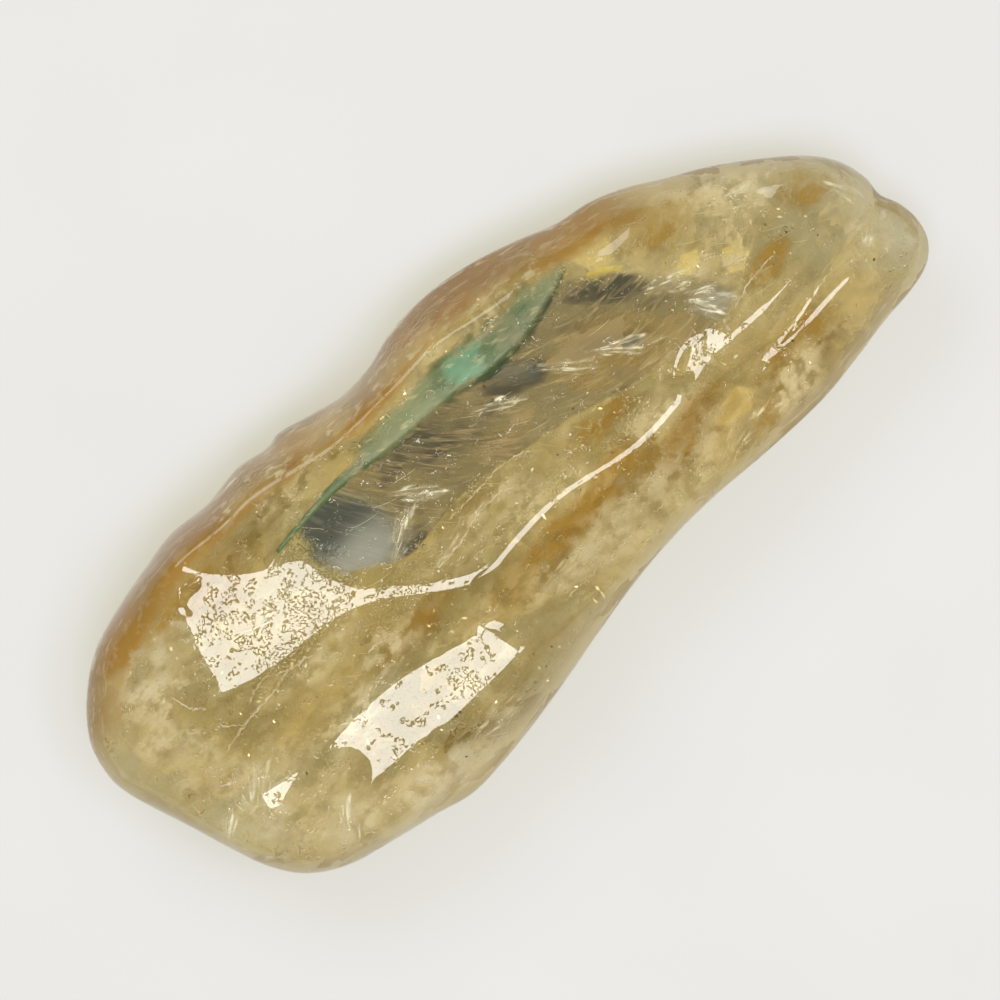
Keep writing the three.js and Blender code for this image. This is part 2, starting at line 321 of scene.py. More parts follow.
# Where colours and veils lie, seen from above: x, y, half length, half width, turn, strength.
zones = {
    "smoke": [  # clear: the window above the crest where one looks deep into the stone, painted dark on the window sheet
        (-9.2, 5.6, 4.4, 2.6, 0.1, 0.9), (-3.2, 6.4, 4, 3, 0.1, 1), (1.6, 6.6, 4, 3.4, 0.1, 1),
        (7.6, 6.4, 4.4, 3.2, -0.2, 1), (12.6, 6.4, 4.6, 2.8, -0.4, 1), (17.4, 3.4, 4, 1.8, -0.6, 0.9),
        (8.6, 1, 1.3, 0.7, 0.1, 0.7), (11.8, 0.7, 1.8, 0.5, -0.1, 0.7),
    ],
    "milk": [  # cream-white
        (-1.3, 1.6, 5, 1.3, 0.1, 0.15), (4.5, 0.4, 4.2, 1.1, 0, 0.2), (5.8, -4.9, 7, 1.8, 0.05, 1),
        (29.6, 0.8, 2.2, 2, 0.2, 0.25), (24.6, 7.6, 5, 1, -0.4, 0.6), (-22.6, -3.4, 3, 2.2, 0.3, 0.7),
        (-13, -2.8, 6, 1.5, 0.25, 0.45), (-20.6, -9.2, 3, 1.6, 0.2, 0.6), (-6.3, 3.3, 2, 0.9, 0.6, 0.8),
        (20.5, 3.4, 3.2, 1.4, -0.5, 0.6), (19.5, -4.8, 5, 1.4, 0.1, 0.45), (1.5, 11.9, 5.5, 1, 0, 0.45),
        (-5.6, 11.4, 3, 1, 0.1, 0.55), (-11.8, 11.6, 3.4, 0.9, 0, 0.6), (31.6, -2, 1.4, 2.4, 0, 0.5),
        (8.2, 11.2, 3.6, 0.8, -0.05, 0.6), (-15, -5, 5, 2.4, 0.25, 0.5), (-25.6, -6, 2.6, 3.2, 0.4, 0.65),
        (-11, -10.4, 7, 1.4, 0.05, 0.65), (-26.4, 1.6, 2.6, 3, 0, 0.4), (-22.4, 6, 3.6, 2.6, 0.1, 0.75),
        (-14.6, 0.6, 3.2, 1.2, 0.2, 0.75),
    ],
    "amber": [  # golden to brown
        (-21, 9.2, 7.5, 2.2, -0.15, 0.65), (-8.5, 11.4, 6.5, 1.5, 0.05, 0.8), (9, 12.9, 8, 1.2, -0.1, 1),
        (16.2, 11, 3.6, 1.3, -0.5, 1), (12.4, -2.9, 4.4, 1.2, 0.25, 1), (3.6, -2.6, 7, 1.1, 0.1, 0.9),
        (19.4, 8.2, 3.6, 1.8, -0.3, 0.6), (21.6, -3.2, 4, 1.4, 0.1, 0.6), (-9.6, -1.6, 4.5, 1, 0.15, 0.55),
        (-2.2, 1, 2.6, 1, 0.2, 0.45), (8.6, 0.6, 4, 0.9, 0.1, 0.6), (23.4, 1.6, 2.4, 1, 0.2, 0.7),
        (-2.6, -3.2, 3.4, 1.2, 0.3, 0.6), (28.4, 4, 2.2, 1.4, -0.7, 0.5), (18.4, -5.6, 3, 1, 0.1, 0.6),
    ],
    "pits": [  # worn places, with pits in the polish
        (-12.6, 3.6, 3.2, 2.6, 0.4, 1), (-15.6, 2.2, 4.5, 1.3, 0.2, 1), (-18.6, 6.6, 2.6, 1.2, 0.2, 0.7),
        (-8.8, -6.6, 1.8, 1.4, 0.3, 0.8), (-8.6, 0.2, 3.6, 1.2, 0.1, 1.5), (16, -0.6, 2.2, 1.5, 0.5, 0.6),
        (-17.4, 3.4, 4.6, 3.4, 0.2, 0.55), (2, -0.6, 3, 0.8, 0.1, 0.9), (10, -0.4, 2, 0.8, 0.2, 0.9),
        (-11.6, 12.4, 3.4, 0.8, 0, 0.8), (3, 13.2, 3, 0.6, 0, 0.6),
    ],
    "teal": [(4, 9.4, 1.7, 1.6, 0.1, 1)],  # this and the next colour the green line
    "paleGreen": [(-1.4, 8.9, 3.4, 2.2, 0.1, 1), (10.2, 9.8, 2.2, 1.6, 0, 0.5)],
    "darkSmoke": [  # this and the three that follow colour the window: painted darkness, painted cool grey, its lighter part and gold
        (-10.2, 7.2, 2.4, 1.1, 0.1, 0.9), (-5.8, 2.1, 1.7, 1.1, 0.3, 1), (-1, 7, 4, 1.9, 0, 0.7),
        (-0.5, 6, 7.5, 3.2, 0.1, 0.42), (11, 6.4, 7, 3, -0.4, 0.28), (5.6, 6.5, 2.8, 1.3, -0.4, 0.9),
        (9.4, 9.6, 2.8, 0.9, -0.4, 1), (14, 7.2, 3.4, 0.9, -0.5, 1), (12, 4.4, 2.6, 0.8, -0.5, 0.7),
        (10, 0.9, 1.8, 0.8, 0, 0.9), (16.4, 4.4, 1.8, 0.7, -0.5, 0.6),
    ],
    "coolSmoke": [
        (-9.6, 4.8, 3.6, 3.4, 0.2, 1.2), (19.2, 2.1, 2, 1, -0.6, 0.45), (6, 6.8, 2.4, 0.9, -0.6, 0.5),
    ],
    "coolLight": [
        (-9.4, 3.2, 3.6, 2, 0.2, 1), (19.2, 2.1, 2.4, 1.2, -0.6, 1), (6.2, 6.6, 1.6, 0.6, -0.6, 0.3),
    ],
    "goldSmoke": [(12.6, 3.6, 5.6, 2.6, -0.4, 0.9), (2.6, 4, 4, 1.2, 0, 0.5)],
}


def zoneAmount(zone, x, y):
    amount = np.zeros(np.shape(x))
    for *oval, strength in zones[zone]:
        amount = np.maximum(amount, strength * np.exp(-ovalDistance(x, y, *oval) ** 2))
    return amount


def zoneAmounts(points, *names):
    return {name: zoneAmount(name, points[:, 0], points[:, 1]) for name in names}


# Node trees. A value is a number, a colour or another node's socket.
class Nodes:
    def __init__(self, tree):
        self.tree = tree

    def feed(self, socket, value):
        if isinstance(value, bpy.types.NodeSocket):
            self.tree.links.new(value, socket)
        else:
            socket.default_value = value

    def add(self, kind, links=None, **settings):
        node = self.tree.nodes.new(kind)
        for name, value in settings.items():
            setattr(node, name, value)
        for name, value in (links or {}).items():
            self.feed(node.inputs[name], value)
        return node

    def math(self, operation, *values, clamp=False):
        total = values[0]
        for value in values[1:]:
            node = self.add("ShaderNodeMath", {0: total, 1: value}, operation=operation, use_clamp=clamp)
            total = node.outputs[0]
        return total

    def times(self, *values):
        return self.math("MULTIPLY", *values)

    def plus(self, *values):
        return self.math("ADD", *values)

    def minus(self, a, b):
        return self.math("SUBTRACT", a, b)

    def most(self, *values):
        return self.math("MAXIMUM", *values)

    def distance(self, a, b):
        return self.math("ABSOLUTE", self.minus(a, b), 0.0)

    def ramp(self, value, low, high, toLow=0.0, toHigh=1.0):
        links = {"Value": value, "From Min": low, "From Max": high, "To Min": toLow, "To Max": toHigh}
        return self.add("ShaderNodeMapRange", links, interpolation_type="SMOOTHSTEP").outputs["Result"]

    def mix(self, factor, a, b):
        node = self.add("ShaderNodeMix", {0: factor}, data_type="RGBA")
        for socket, value in ((node.inputs[6], a), (node.inputs[7], b)):
            self.feed(socket, value if isinstance(value, bpy.types.NodeSocket) else (*value, 1))
        return node.outputs[2]

    def vector(self, x=0.0, y=0.0, z=0.0):
        return self.add("ShaderNodeCombineXYZ", {"X": x, "Y": y, "Z": z}).outputs[0]

    def noise(self, place, scale, detail, roughness=0.5, distortion=0.0, dimensions="3D"):
        links = {"Vector": place, "Scale": scale, "Detail": detail, "Roughness": roughness}
        links["Distortion"] = distortion
        return self.add("ShaderNodeTexNoise", links, noise_dimensions=dimensions).outputs["Fac"]

    def amount(self, name):
        return self.add("ShaderNodeAttribute", attribute_name=name).outputs["Fac"]

    def place(self):
        return self.add("ShaderNodeTexCoord").outputs["Object"]

    def use(self, group, **values):
        # values are named as the group's inputs are, in camelCase
        node = self.add("ShaderNodeGroup", node_tree=group)
        for name, value in values.items():
            words = "".join(" " + c if c.isupper() else c for c in name).title()
            self.feed(node.inputs[words], value)
        return node.outputs[0]


def newGroup(name, inputs, output):
    group = bpy.data.node_groups.new(name, "ShaderNodeTree")
    for socketName, value in inputs.items():
        kind = "NodeSocketVector" if value is None else "NodeSocketFloat"
        socket = group.interface.new_socket(name=socketName, in_out="INPUT", socket_type=kind)
        if value is not None:
            socket.default_value = value
    group.interface.new_socket(name=output, in_out="OUTPUT", socket_type="NodeSocketFloat")
    made = group.nodes.new("NodeGroupOutput").inputs[output]
    return group, Nodes(group), group.nodes.new("NodeGroupInput").outputs, made


def newMaterial(name):
    material = bpy.data.materials.new(name)
    material.use_nodes = True
    return material, Nodes(material.node_tree), material.node_tree.nodes["Principled BSDF"]


def finishVeil(nodes, shader, colour, cover, roughness, specular=0.5):
    nodes.feed(shader.inputs["Base Color"], colour)
    nodes.feed(shader.inputs["Alpha"], cover)
    shader.inputs["Roughness"].default_value = roughness
    shader.inputs["Specular IOR Level"].default_value = specular


def letLightThrough(nodes, shader, colour):
    # lamps and bounced light reach what lies inside straight through this surface
    path = nodes.add("ShaderNodeLightPath").outputs
    clear = nodes.add("ShaderNodeBsdfTransparent", {"Color": (*colour, 1)}).outputs[0]
    lamps = nodes.add("ShaderNodeMixShader", {0: path["Is Shadow Ray"], 1: shader.outputs[0], 2: clear})
    both = nodes.add("ShaderNodeMixShader", {0: path["Is Diffuse Ray"], 1: lamps.outputs[0], 2: clear})
    nodes.feed(nodes.tree.nodes["Material Output"].inputs["Surface"], both.outputs[0])


# Drawn noise: soft clouds drawn out along the stone, also as flat clouds for sheets, which are quicker.
def buildDrawnNoise(name, dimensions, contrast, roughness=0.6):
    inputs = {"Place": None, "Size": 0.003, "Stretch": 2.5, "Turn": 0.2, "Shift": 0.0, "Detail": 3.0}
    group, nodes, given, made = newGroup(name, inputs, "Value")
    turned = nodes.add("ShaderNodeMapping", {
        "Vector": given["Place"], "Rotation": nodes.vector(z=given["Turn"]),
    }).outputs[0]
    place = nodes.add("ShaderNodeMapping", {
        "Vector": turned, "Scale": nodes.vector(nodes.math("DIVIDE", 1.0, given["Stretch"]), 1.0, 1.0),
        "Location": nodes.vector(given["Shift"], 0.0, given["Shift"]),
    }).outputs[0]
    scale = nodes.math("DIVIDE", 1.0, given["Size"])
    noise = nodes.noise(place, scale, given["Detail"], roughness, dimensions=dimensions)
    nodes.feed(made, nodes.plus(nodes.times(noise, contrast), (1 - contrast) / 2))
    return group


# Ragged zone: an amount whose border a noise makes uneven.
def buildRaggedZone():
    inputs = {"Amount": 0.0, "Noise": 0.5, "Raggedness": 1.5, "Softness": 0.25}
    group, nodes, given, made = newGroup("ragged zone", inputs, "Mask")
    uneven = nodes.times(nodes.minus(given["Noise"], 0.5), given["Raggedness"])
    low, high = nodes.minus(0.5, given["Softness"]), nodes.plus(0.5, given["Softness"])
    nodes.feed(made, nodes.ramp(nodes.plus(given["Amount"], uneven), low, high))
    return group


# Shards: flat cells with ragged borders, each with its own value, as broken planes in a crystal show.
def buildShards():
    inputs = {"Place": None, "Noise": 0.5, "Size": 0.002, "Stretch": 2.0, "Turn": 0.0, "Raggedness": 1.2}
    group, nodes, given, made = newGroup("shards", inputs, "Value")
    turned = nodes.add("ShaderNodeMapping", {
        "Vector": given["Place"], "Rotation": nodes.vector(z=given["Turn"]),
    }).outputs[0]
    whole = nodes.math("DIVIDE", 1.0, given["Size"])
    drawn = nodes.vector(nodes.math("DIVIDE", whole, given["Stretch"]), whole, whole)
    place = nodes.add("ShaderNodeMapping", {"Vector": turned, "Scale": drawn}).outputs[0]
    wobble = nodes.times(given["Noise"], given["Raggedness"])
    place = nodes.add("ShaderNodeVectorMath", {0: place, 1: wobble}, operation="ADD").outputs[0]
    cell = nodes.add("ShaderNodeTexVoronoi", {"Vector": place, "Scale": 1.0}, voronoi_dimensions="2D")
    nodes.feed(made, nodes.add("ShaderNodeSeparateColor", {0: cell.outputs["Color"]}).outputs[0])
    return group


drawnNoise = buildDrawnNoise("drawn noise", "3D", 1.0)
flatNoise = buildDrawnNoise("flat noise", "2D", 0.75)
raggedZone = buildRaggedZone()
shards = buildShards()


def raggedAmount(nodes, amount, noise, raggedness, softness):
    # amount is the name of a mesh amount, or a node's socket
    amount = nodes.amount(amount) if isinstance(amount, str) else amount
    return nodes.use(raggedZone, amount=amount, noise=noise, raggedness=raggedness, softness=softness)


print("stage 1: form ready,", len(stonePoints), "points")


# The body: clear polished quartz that takes up blue and a little red on the way through.
body = {
    "ior": 1.544,
    "roughness": 0.012,
    "density": 75.0,
    "insideColour": (0.79, 0.70, 0.27),
    "clearTint": (0.985, 0.985, 0.97),
    "deepTint": (0.90, 0.76, 0.46),
    "faceTones": {  # painted shade per face: how deep the colour looks through each face, in the order of the form's faces
        "frontFaces": (0.1, 0.15, 0.3, 0.2, 0.15, 0.0, 1.0, 0.4, 0.0, 0.5),
        "steepFaces": (0.55, 0.7),
        "terraceFaces": (0.05, 0.15),
        "blend": 0.05,
    },
    "shadowTint": (0.86, 0.85, 0.80),
    "pitSize": 0.00022,
    "wornSize": 0.0009,
    "pitDepth": 0.00005,
    "pitRamp": (0.5, 0.66),  # where the noise makes a pit
    "wornRaggedness": 4.0,
    "wornSoftness": 0.2,
    "swell": 0.3,
    "swellScale": 520.0,
}


def polishedQuartz(settings):
    material, nodes, glass = newMaterial("polished quartz")
    place = nodes.place()
    # painted shade: each face's share of the deeper tint darkens what is seen through it
    tint = nodes.mix(nodes.amount("tone"), settings["clearTint"], settings["deepTint"])
    nodes.feed(glass.inputs["Base Color"], tint)
    grains = nodes.noise(place, 1 / settings["pitSize"], 0.0)
    wornNoise = nodes.noise(place, 1 / settings["wornSize"], 1.0)
    worn = raggedAmount(nodes, "pits", wornNoise, settings["wornRaggedness"], settings["wornSoftness"])
    pits = nodes.times(nodes.ramp(grains, *settings["pitRamp"]), worn)
    swell = nodes.times(nodes.noise(place, settings["swellScale"], 1.0), settings["swell"])
    bump = nodes.add("ShaderNodeBump", {
        "Strength": 1.0, "Distance": settings["pitDepth"], "Height": nodes.minus(swell, pits),
    })
    nodes.feed(glass.inputs["Normal"], bump.outputs["Normal"])
    glass.inputs["Roughness"].default_value = settings["roughness"]
    glass.inputs["IOR"].default_value = settings["ior"]
    glass.inputs["Transmission Weight"].default_value = 1.0
    letLightThrough(nodes, glass, settings["shadowTint"])
    inside = nodes.add("ShaderNodeVolumeAbsorption", {
        "Color": (*settings["insideColour"], 1), "Density": settings["density"],
    })
    nodes.feed(nodes.tree.nodes["Material Output"].inputs["Volume"], inside.outputs[0])
    return material


# painted shade per face: the share of the deeper tint on the face that lies on top at each point
def paintedFaceShade(x, y, tones):
    swayed = swayedAcross(x, y)
    blend = tones["blend"]

    def lowestShade(name):
        heights = np.array(faceHeights(form[name], x, swayed))
        shares = np.clip(1 - (heights - heights.min(0)) / blend, 0, 1)
        return heights.min(0), (shares * np.array(tones[name])[:, None]).sum(0) / shares.sum(0)
    front, frontShade = lowestShade("frontFaces")
    steep, steepShade = lowestShade("steepFaces")
    terrace, terraceShade = lowestShade("terraceFaces")
    underShade = mix(steepShade, terraceShade, np.clip(0.5 + (terrace - steep) / blend, 0, 1))
    isUnder = np.clip(0.5 + (front - np.maximum(steep, terrace)) / blend, 0, 1)
    return mix(frontShade, underShade, isUnder)


bodyAmounts = zoneAmounts(stonePoints, "pits")
isUpper = stonePoints[:, 2] > rimAt(stonePoints[:, 0])
bodyAmounts["tone"] = paintedFaceShade(stonePoints[:, 0], stonePoints[:, 1], body["faceTones"]) * isUpper
stoneBody = makePiece("stone_body", stonePoints, stoneFaces, polishedQuartz(body), bodyAmounts)
pieces = [stoneBody]
print("stage 2: body ready")


# The skin: a closed shell just under the surface, with a painted highlight along the rim, painted bright
# lines beside it, the ochre band (partly painted golden light) and a thin haze.
skin = {
    "depth": 0.16,
    "soft": {"size": 0.0036, "stretch": 2.4, "turn": -0.1, "shift": 0.3, "detail": 2.0},  # its clouds
    "fine": {"size": 0.0008, "stretch": 1.5, "turn": -0.1, "shift": 0.9, "detail": 2.0},
    "shards": {"size": 0.0019, "stretch": 1.8, "turn": -0.1},
    "slant": (0.7, 1.3),  # leans the shards over, against upright columns on the sides
    "roughness": 0.5,
    "specular": 0.1,
    "edgeWidth": 1.0,
    "bandWidth": 2.6,
    # the ochre band along the far side is partly the stone's ochre and partly painted golden light that the
    # bevels turn back inside
    "farBand": (3.3, 2.3),  # where the ochre band along the far side begins and is full, from the outline
    "farAcross": (3, 7),  # the same across the stone
    "farAlong": (23, 16),  # and along it
    # pale is the colour of the painted highlight along the rim, and of the milky flecks
    "pale": (0.76, 0.66, 0.40),
    "straw": (0.66, 0.54, 0.25),
    "ochre": (0.43, 0.235, 0.04),
    "brown": (0.33, 0.20, 0.05),
    "cream": (0.80, 0.72, 0.52),
    "shade": 0.6,
    "haze": (0.04, 0.36),
    "bandCover": (0.2, 0.6),
    "farCover": (0.6, 0.95),
    "edgeCover": 0.9,
    "lowShare": 0.3,  # how much of the band and the milk is left below the rim
    "lowFade": (-1.6, 0.4),  # and where that fades in, from the rim's height
    "rimLines": ((0.3, 0.12, 0.8), (1.1, 0.1, 0.35)),  # painted bright lines along the rim: from the outline, width, strength
}


def movedInwards(points, faces, distance):
    mesh = bpy.data.meshes.new("inset")
    mesh.from_pydata(points.tolist(), [], faces)
    normals = np.empty(len(points) * 3, "f")
    mesh.vertex_normals.foreach_get("vector", normals)
    bpy.data.meshes.remove(mesh)
    return points - distance * normals.reshape(-1, 3)


def skinVeil(settings):
    material, nodes, shader = newMaterial("skin veil")
    place = nodes.place()
    soft = nodes.use(drawnNoise, place=place, **settings["soft"])
    fine = nodes.use(drawnNoise, place=place, **settings["fine"])
    edge, band, farSide, milk = (nodes.amount(name) for name in ("edge", "band", "farSide", "milk"))
    height = nodes.add("ShaderNodeSeparateXYZ", {0: place}).outputs["Z"]
    slant = nodes.vector(*(nodes.times(height, lean) for lean in settings["slant"]))
    slanted = nodes.add("ShaderNodeVectorMath", {0: place, 1: slant}, operation="ADD").outputs[0]
    shard = nodes.use(shards, place=slanted, noise=fine, **settings["shards"])
    fineLight = nodes.ramp(fine, 0.36, 0.62)
    # the ochre band: the stone's ochre with painted golden light turned back by the far bevels
    ochre = nodes.times(
        farSide, nodes.ramp(soft, 0.3, 0.5, 0.7, 1.0), nodes.ramp(milk, 0.2, 0.7, 1.0, 0.15)
    )
    # the painted highlight along the rim, and the milky flecks
    pale = nodes.most(edge, nodes.times(milk, nodes.ramp(fine, 0.3, 0.6, 0.2, 0.9)))
    colour = nodes.mix(pale, settings["straw"], settings["pale"])
    colour = nodes.mix(ochre, colour, settings["ochre"])
    colour = nodes.mix(nodes.ramp(shard, 0.1, 0.6, settings["shade"], 0.0), colour, settings["brown"])
    bright = nodes.times(nodes.ramp(fine, 0.52, 0.66), nodes.ramp(milk, 0.0, 0.6, 0.15, 0.95))
    # painted bright lines along the rim, where light bends round the edge, join the bright flecks
    inwards = nodes.plus(nodes.amount("inwards"), nodes.ramp(soft, 0.3, 0.7, -0.35, 0.35))
    for away, width, strength in settings["rimLines"]:
        line = nodes.ramp(nodes.distance(inwards, away), 0.0, width, strength, 0.0)
        bright = nodes.most(bright, nodes.times(line, fineLight))
    colour = nodes.mix(bright, colour, settings["cream"])

    outsideWindow = nodes.minus(1.0, nodes.amount("smoke"))
    haze = nodes.ramp(fineLight, 0.0, 1.0, *settings["haze"])
    haze = nodes.times(haze, nodes.ramp(soft, 0.42, 0.7), outsideWindow)
    rim = nodes.times(band, nodes.ramp(shard, 0.1, 0.9, *settings["bandCover"]))
    far = nodes.ramp(soft, 0.35, 0.6, *settings["farCover"])
    far = nodes.times(far, farSide, nodes.ramp(outsideWindow, 0.1, 0.6, 0.25, 1.0))
    cover = nodes.most(haze, rim, far, nodes.times(edge, settings["edgeCover"]), nodes.times(bright, band))
    finishVeil(nodes, shader, colour, cover, settings["roughness"], settings["specular"])
    return material


skinPoints, skinFaces = stoneSurface(stations=230, around=110)
rimDistance = distanceToPath(outlineLine, skinPoints[:, 0], skinPoints[:, 1])
skinAmounts = zoneAmounts(skinPoints, "smoke", "milk")
aboveRim = mix(skin["lowShare"], 1, fadeIn(skinPoints[:, 2] - rimAt(skinPoints[:, 0]), *skin["lowFade"]))
farSide = fadeIn(skinPoints[:, 1], *skin["farAcross"]) * fadeIn(skinPoints[:, 0], *skin["farAlong"])
skinAmounts["farSide"] = farSide * fadeIn(rimDistance, *skin["farBand"]) * aboveRim
skinAmounts["milk"] *= aboveRim
# edge: a painted highlight along the rim, strongest at the outline
skinAmounts["edge"] = np.exp(-(rimDistance / skin["edgeWidth"]) ** 2)
skinAmounts["band"] = 1 - fadeIn(rimDistance, 0, skin["bandWidth"])
skinAmounts["inwards"] = rimDistance
skinPoints = movedInwards(skinPoints, skinFaces, skin["depth"])
pieces.append(makePiece("skin_veil", skinPoints, skinFaces, skinVeil(skin), skinAmounts))
print("stage 3: skin ready")


# Lenses: thin closed bodies with a wavy border, which lie inside the stone at a share of its depth.
lensShape = {"rings": 10, "round": 56, "gap": 0.5}
wideShape = {"veilRings": 34, "windowRings": 24, "round": 150}
coarseLine = outlineLine[::4]


def depthAt(x, y, level):
    x, y = np.atleast_1d(x).astype(float), np.atleast_1d(y).astype(float)
    front = surfaceHeight(np.ones(x.shape, bool), x, y, coarseLine)
    back = surfaceHeight(np.zeros(x.shape, bool), x, y, coarseLine)
    return mix(back, front, level)


def keptInside(points):
    x, y = points[:, 0], points[:, 1]
    low = depthAt(x, y, 0) + lensShape["gap"]
    high = depthAt(x, y, 1) - lensShape["gap"]
    middle = (low + high) / 2
    kept = points.copy()
    kept[:, 2] = np.clip(points[:, 2], np.minimum(low, middle), np.maximum(high, middle))
    return kept


def discFaces(rings, around):
    # the top and bottom share the border ring: point 0 is the middle of the top and 1 of the bottom
    def ringStart(isTop, ring):
        if ring == rings:
            return 2
        return 2 + around * (ring if isTop else rings - 1 + ring)
    faces = []
    for isTop in (True, False):
        for j in range(around):
            nextJ = (j + 1) % around
            a, b = (j, nextJ) if isTop else (nextJ, j)
            first = ringStart(isTop, 1)
            faces.append((0 if isTop else 1, first + a, first + b))
            for ring in range(1, rings):
                inner, outer = ringStart(isTop, ring), ringStart(isTop, ring + 1)
                faces.append((inner + a, outer + a, outer + b, inner + b))
    return faces


def lens(border, middle, heightAt, thickness, rings=lensShape["rings"]):
    # border is an array of points seen from above, and heightAt gives the middle height at x, y
    around = len(border)
    points, inward = [[*middle, 1.0], [*middle, -1.0]], [1.0, 1.0]
    points += [[x, y, 0.0] for x, y in border]
    inward += [0.0] * around
    for side in (1.0, -1.0):
        for ring in range(1, rings):
            share = ring / rings
            swell = math.sqrt(1 - share ** 2)
            for x, y in np.array(middle) + (border - middle) * share:
                points.append([x, y, side * swell])
                inward.append(1 - share)
    points = np.array(points)
    points[:, 2] = heightAt(points[:, 0], points[:, 1]) + points[:, 2] * thickness / 2
    return keptInside(points), discFaces(rings, around), {"inward": np.array(inward)}


def joinShapes(shapes):
    points, faces, first = [], [], 0
    for shapePoints, shapeFaces, _ in shapes:
        points.append(shapePoints)
        faces += [tuple(first + i for i in face) for face in shapeFaces]
        first += len(shapePoints)
    amounts = {name: np.concatenate([shape[2][name] for shape in shapes]) for name in shapes[0][2]}
    return np.concatenate(points), faces, amounts


# Veils: two closed shells that follow the stone's own form, and carry its clouds and colours.
veils = [
    {"name": "front_veil", "level": 0.68, "thickness": 1.4, "reach": 0.975, "wave": 0.05,
     "size": 0.0034, "fineSize": 0.0009, "stretch": 1.9, "turn": -0.15, "shift": 0.013,
     "shardSize": 0.0023, "shardShare": 0.15,
     "cover": (0.02, 0.42), "fineCover": (0.4, 1.4), "milkCover": 0.3, "amberCover": 0.45},
    {"name": "back_veil", "level": 0.3, "thickness": 1.8, "reach": 0.95, "wave": 0.06,
     "size": 0.0048, "fineSize": 0.0013, "stretch": 1.7, "turn": -0.05, "shift": 0.041,
     "shardSize": 0.0034, "shardShare": 0.22,
     "cover": (0.2, 0.75), "fineCover": (0.6, 1.2), "milkCover": 0.3, "amberCover": 0.4},
]
veilFinish = {"roughness": 0.55, "specular": 0.1}
veilColours = {
    "straw": (0.72, 0.605, 0.36),
    "olive": (0.33, 0.265, 0.12),
    "cream": (0.82, 0.735, 0.55),
    "amber": (0.43, 0.265, 0.045),
    "shade": (0.20, 0.15, 0.055),
}


def milkyVeil(settings, colours):
    material, nodes, shader = newMaterial(settings["name"])
    place = nodes.place()
    drawn = {"place": place, "stretch": settings["stretch"], "turn": settings["turn"]}
    soft = nodes.use(flatNoise, size=settings["size"], shift=settings["shift"], detail=2.0, **drawn)
    fine = nodes.use(
        flatNoise, place=place, size=settings["fineSize"], shift=settings["shift"], stretch=1.5,
        turn=settings["turn"], detail=2.0,
    )
    shard = nodes.use(shards, noise=fine, size=settings["shardSize"], **drawn)
    soft = nodes.plus(soft, nodes.times(nodes.minus(shard, 0.5), settings["shardShare"]))
    fineLight = nodes.ramp(fine, 0.38, 0.62)
    milk = raggedAmount(nodes, "milk", soft, 1.8, 0.45)
    amber = raggedAmount(nodes, "amber", soft, -1.6, 0.3)
    smoke = raggedAmount(nodes, "smoke", soft, 1.2, 0.25)

    colour = nodes.mix(nodes.ramp(soft, 0.4, 0.6), colours["olive"], colours["straw"])
    colour = nodes.mix(amber, colour, colours["amber"])
    colour = nodes.mix(nodes.times(milk, nodes.ramp(fine, 0.3, 0.6, 0.35, 1.0)), colour, colours["cream"])
    colour = nodes.mix(nodes.ramp(fine, 0.34, 0.5, 0.4, 0.0), colour, colours["shade"])
    cover = nodes.plus(
        nodes.ramp(soft, 0.34, 0.66, *settings["cover"]), nodes.times(milk, settings["milkCover"]),
        nodes.times(amber, settings["amberCover"]),
    )
    cover = nodes.times(cover, nodes.ramp(fineLight, 0.0, 1.0, *settings["fineCover"]))
    cover = nodes.math("MULTIPLY", cover, nodes.minus(1.0, smoke), clamp=True)
    cover = nodes.times(cover, nodes.ramp(nodes.amount("inward"), 0.0, 0.1))
    finishVeil(nodes, shader, colour, cover, **veilFinish)
    return material


def shrunkOutline(count, reach):
    turns = np.linspace(0, len(form["outline"]), count, endpoint=False)
    middle = np.array([0.0, 1.2])
    return middle, middle + (curveThrough(form["outline"], turns) - middle) * reach


def veilShell(settings):
    middle, border = shrunkOutline(wideShape["round"], settings["reach"])

    def heightAt(x, y):
        # two slow waves cross each other
        sway = settings["wave"] * (np.sin(0.5 * x + 20 * settings["level"]) + np.sin(0.9 * y - 0.3 * x))
        return depthAt(x, y, settings["level"] + sway)
    points, faces, amounts = lens(
        border, middle, heightAt, settings["thickness"], wideShape["veilRings"]
    )
    amounts.update(zoneAmounts(points, "smoke", "milk", "amber"))
    return makePiece(settings["name"], points, faces, milkyVeil(settings, veilColours), amounts)


pieces += [veilShell(settings) for settings in veils]
print("stage 4: veils ready")


# The window: the clear place above the crest, painted dark, crossed by fine pale streaks that fan out.
window = {
    "corners": [
        (-13.4, 7.3), (-10.6, 8), (-6.9, 8.7), (-1.2, 9.9), (2, 9.8), (7.3, 10.2), (12.3, 10), (15.4, 8.6),
        (17.4, 6.6), (20, 4), (22.2, 1.2), (20.2, 0.2), (17.6, 0.6), (13.4, 0.8), (9.6, 1.3), (6.7, 1.9),
        (3.4, 2.1), (0.5, 2.5), (-2.8, 2.4), (-6.3, 1.5), (-9.2, 1.6), (-11.8, 3.6),
    ],
    "level": 0.76,
    "thickness": 0.7,
    "soft": {"size": 0.0016, "stretch": 1.6, "turn": 0.4, "shift": 0.17, "detail": 2.0},
    "shards": {"size": 0.0015, "stretch": 1.7, "turn": 0.5},
    "roughness": 0.5,
    "specular": 0.1,
    "olive": (0.25, 0.205, 0.105),
    "gold": (0.33, 0.225, 0.07),
    # dark, coolDark and cool: painted darkness in the clear window, and a painted cool grey that is lighter
    # in places
    "dark": (0.085, 0.078, 0.055),
    "coolDark": (0.085, 0.095, 0.085),
    "cool": (0.40, 0.415, 0.425),
    "streak": (0.50, 0.39, 0.22),
    "whiteStreak": (0.62, 0.62, 0.55),
    "cover": (0.6, 0.95),
    "streakMiddle": (3, 6),
    "streakEnds": (-12, 18),  # along the stone
    "streakTurns": (-0.95, -0.15),  # the way the streaks run at these two ends
    "streakLength": 3.0,
    "streakWidth": 0.4,
}


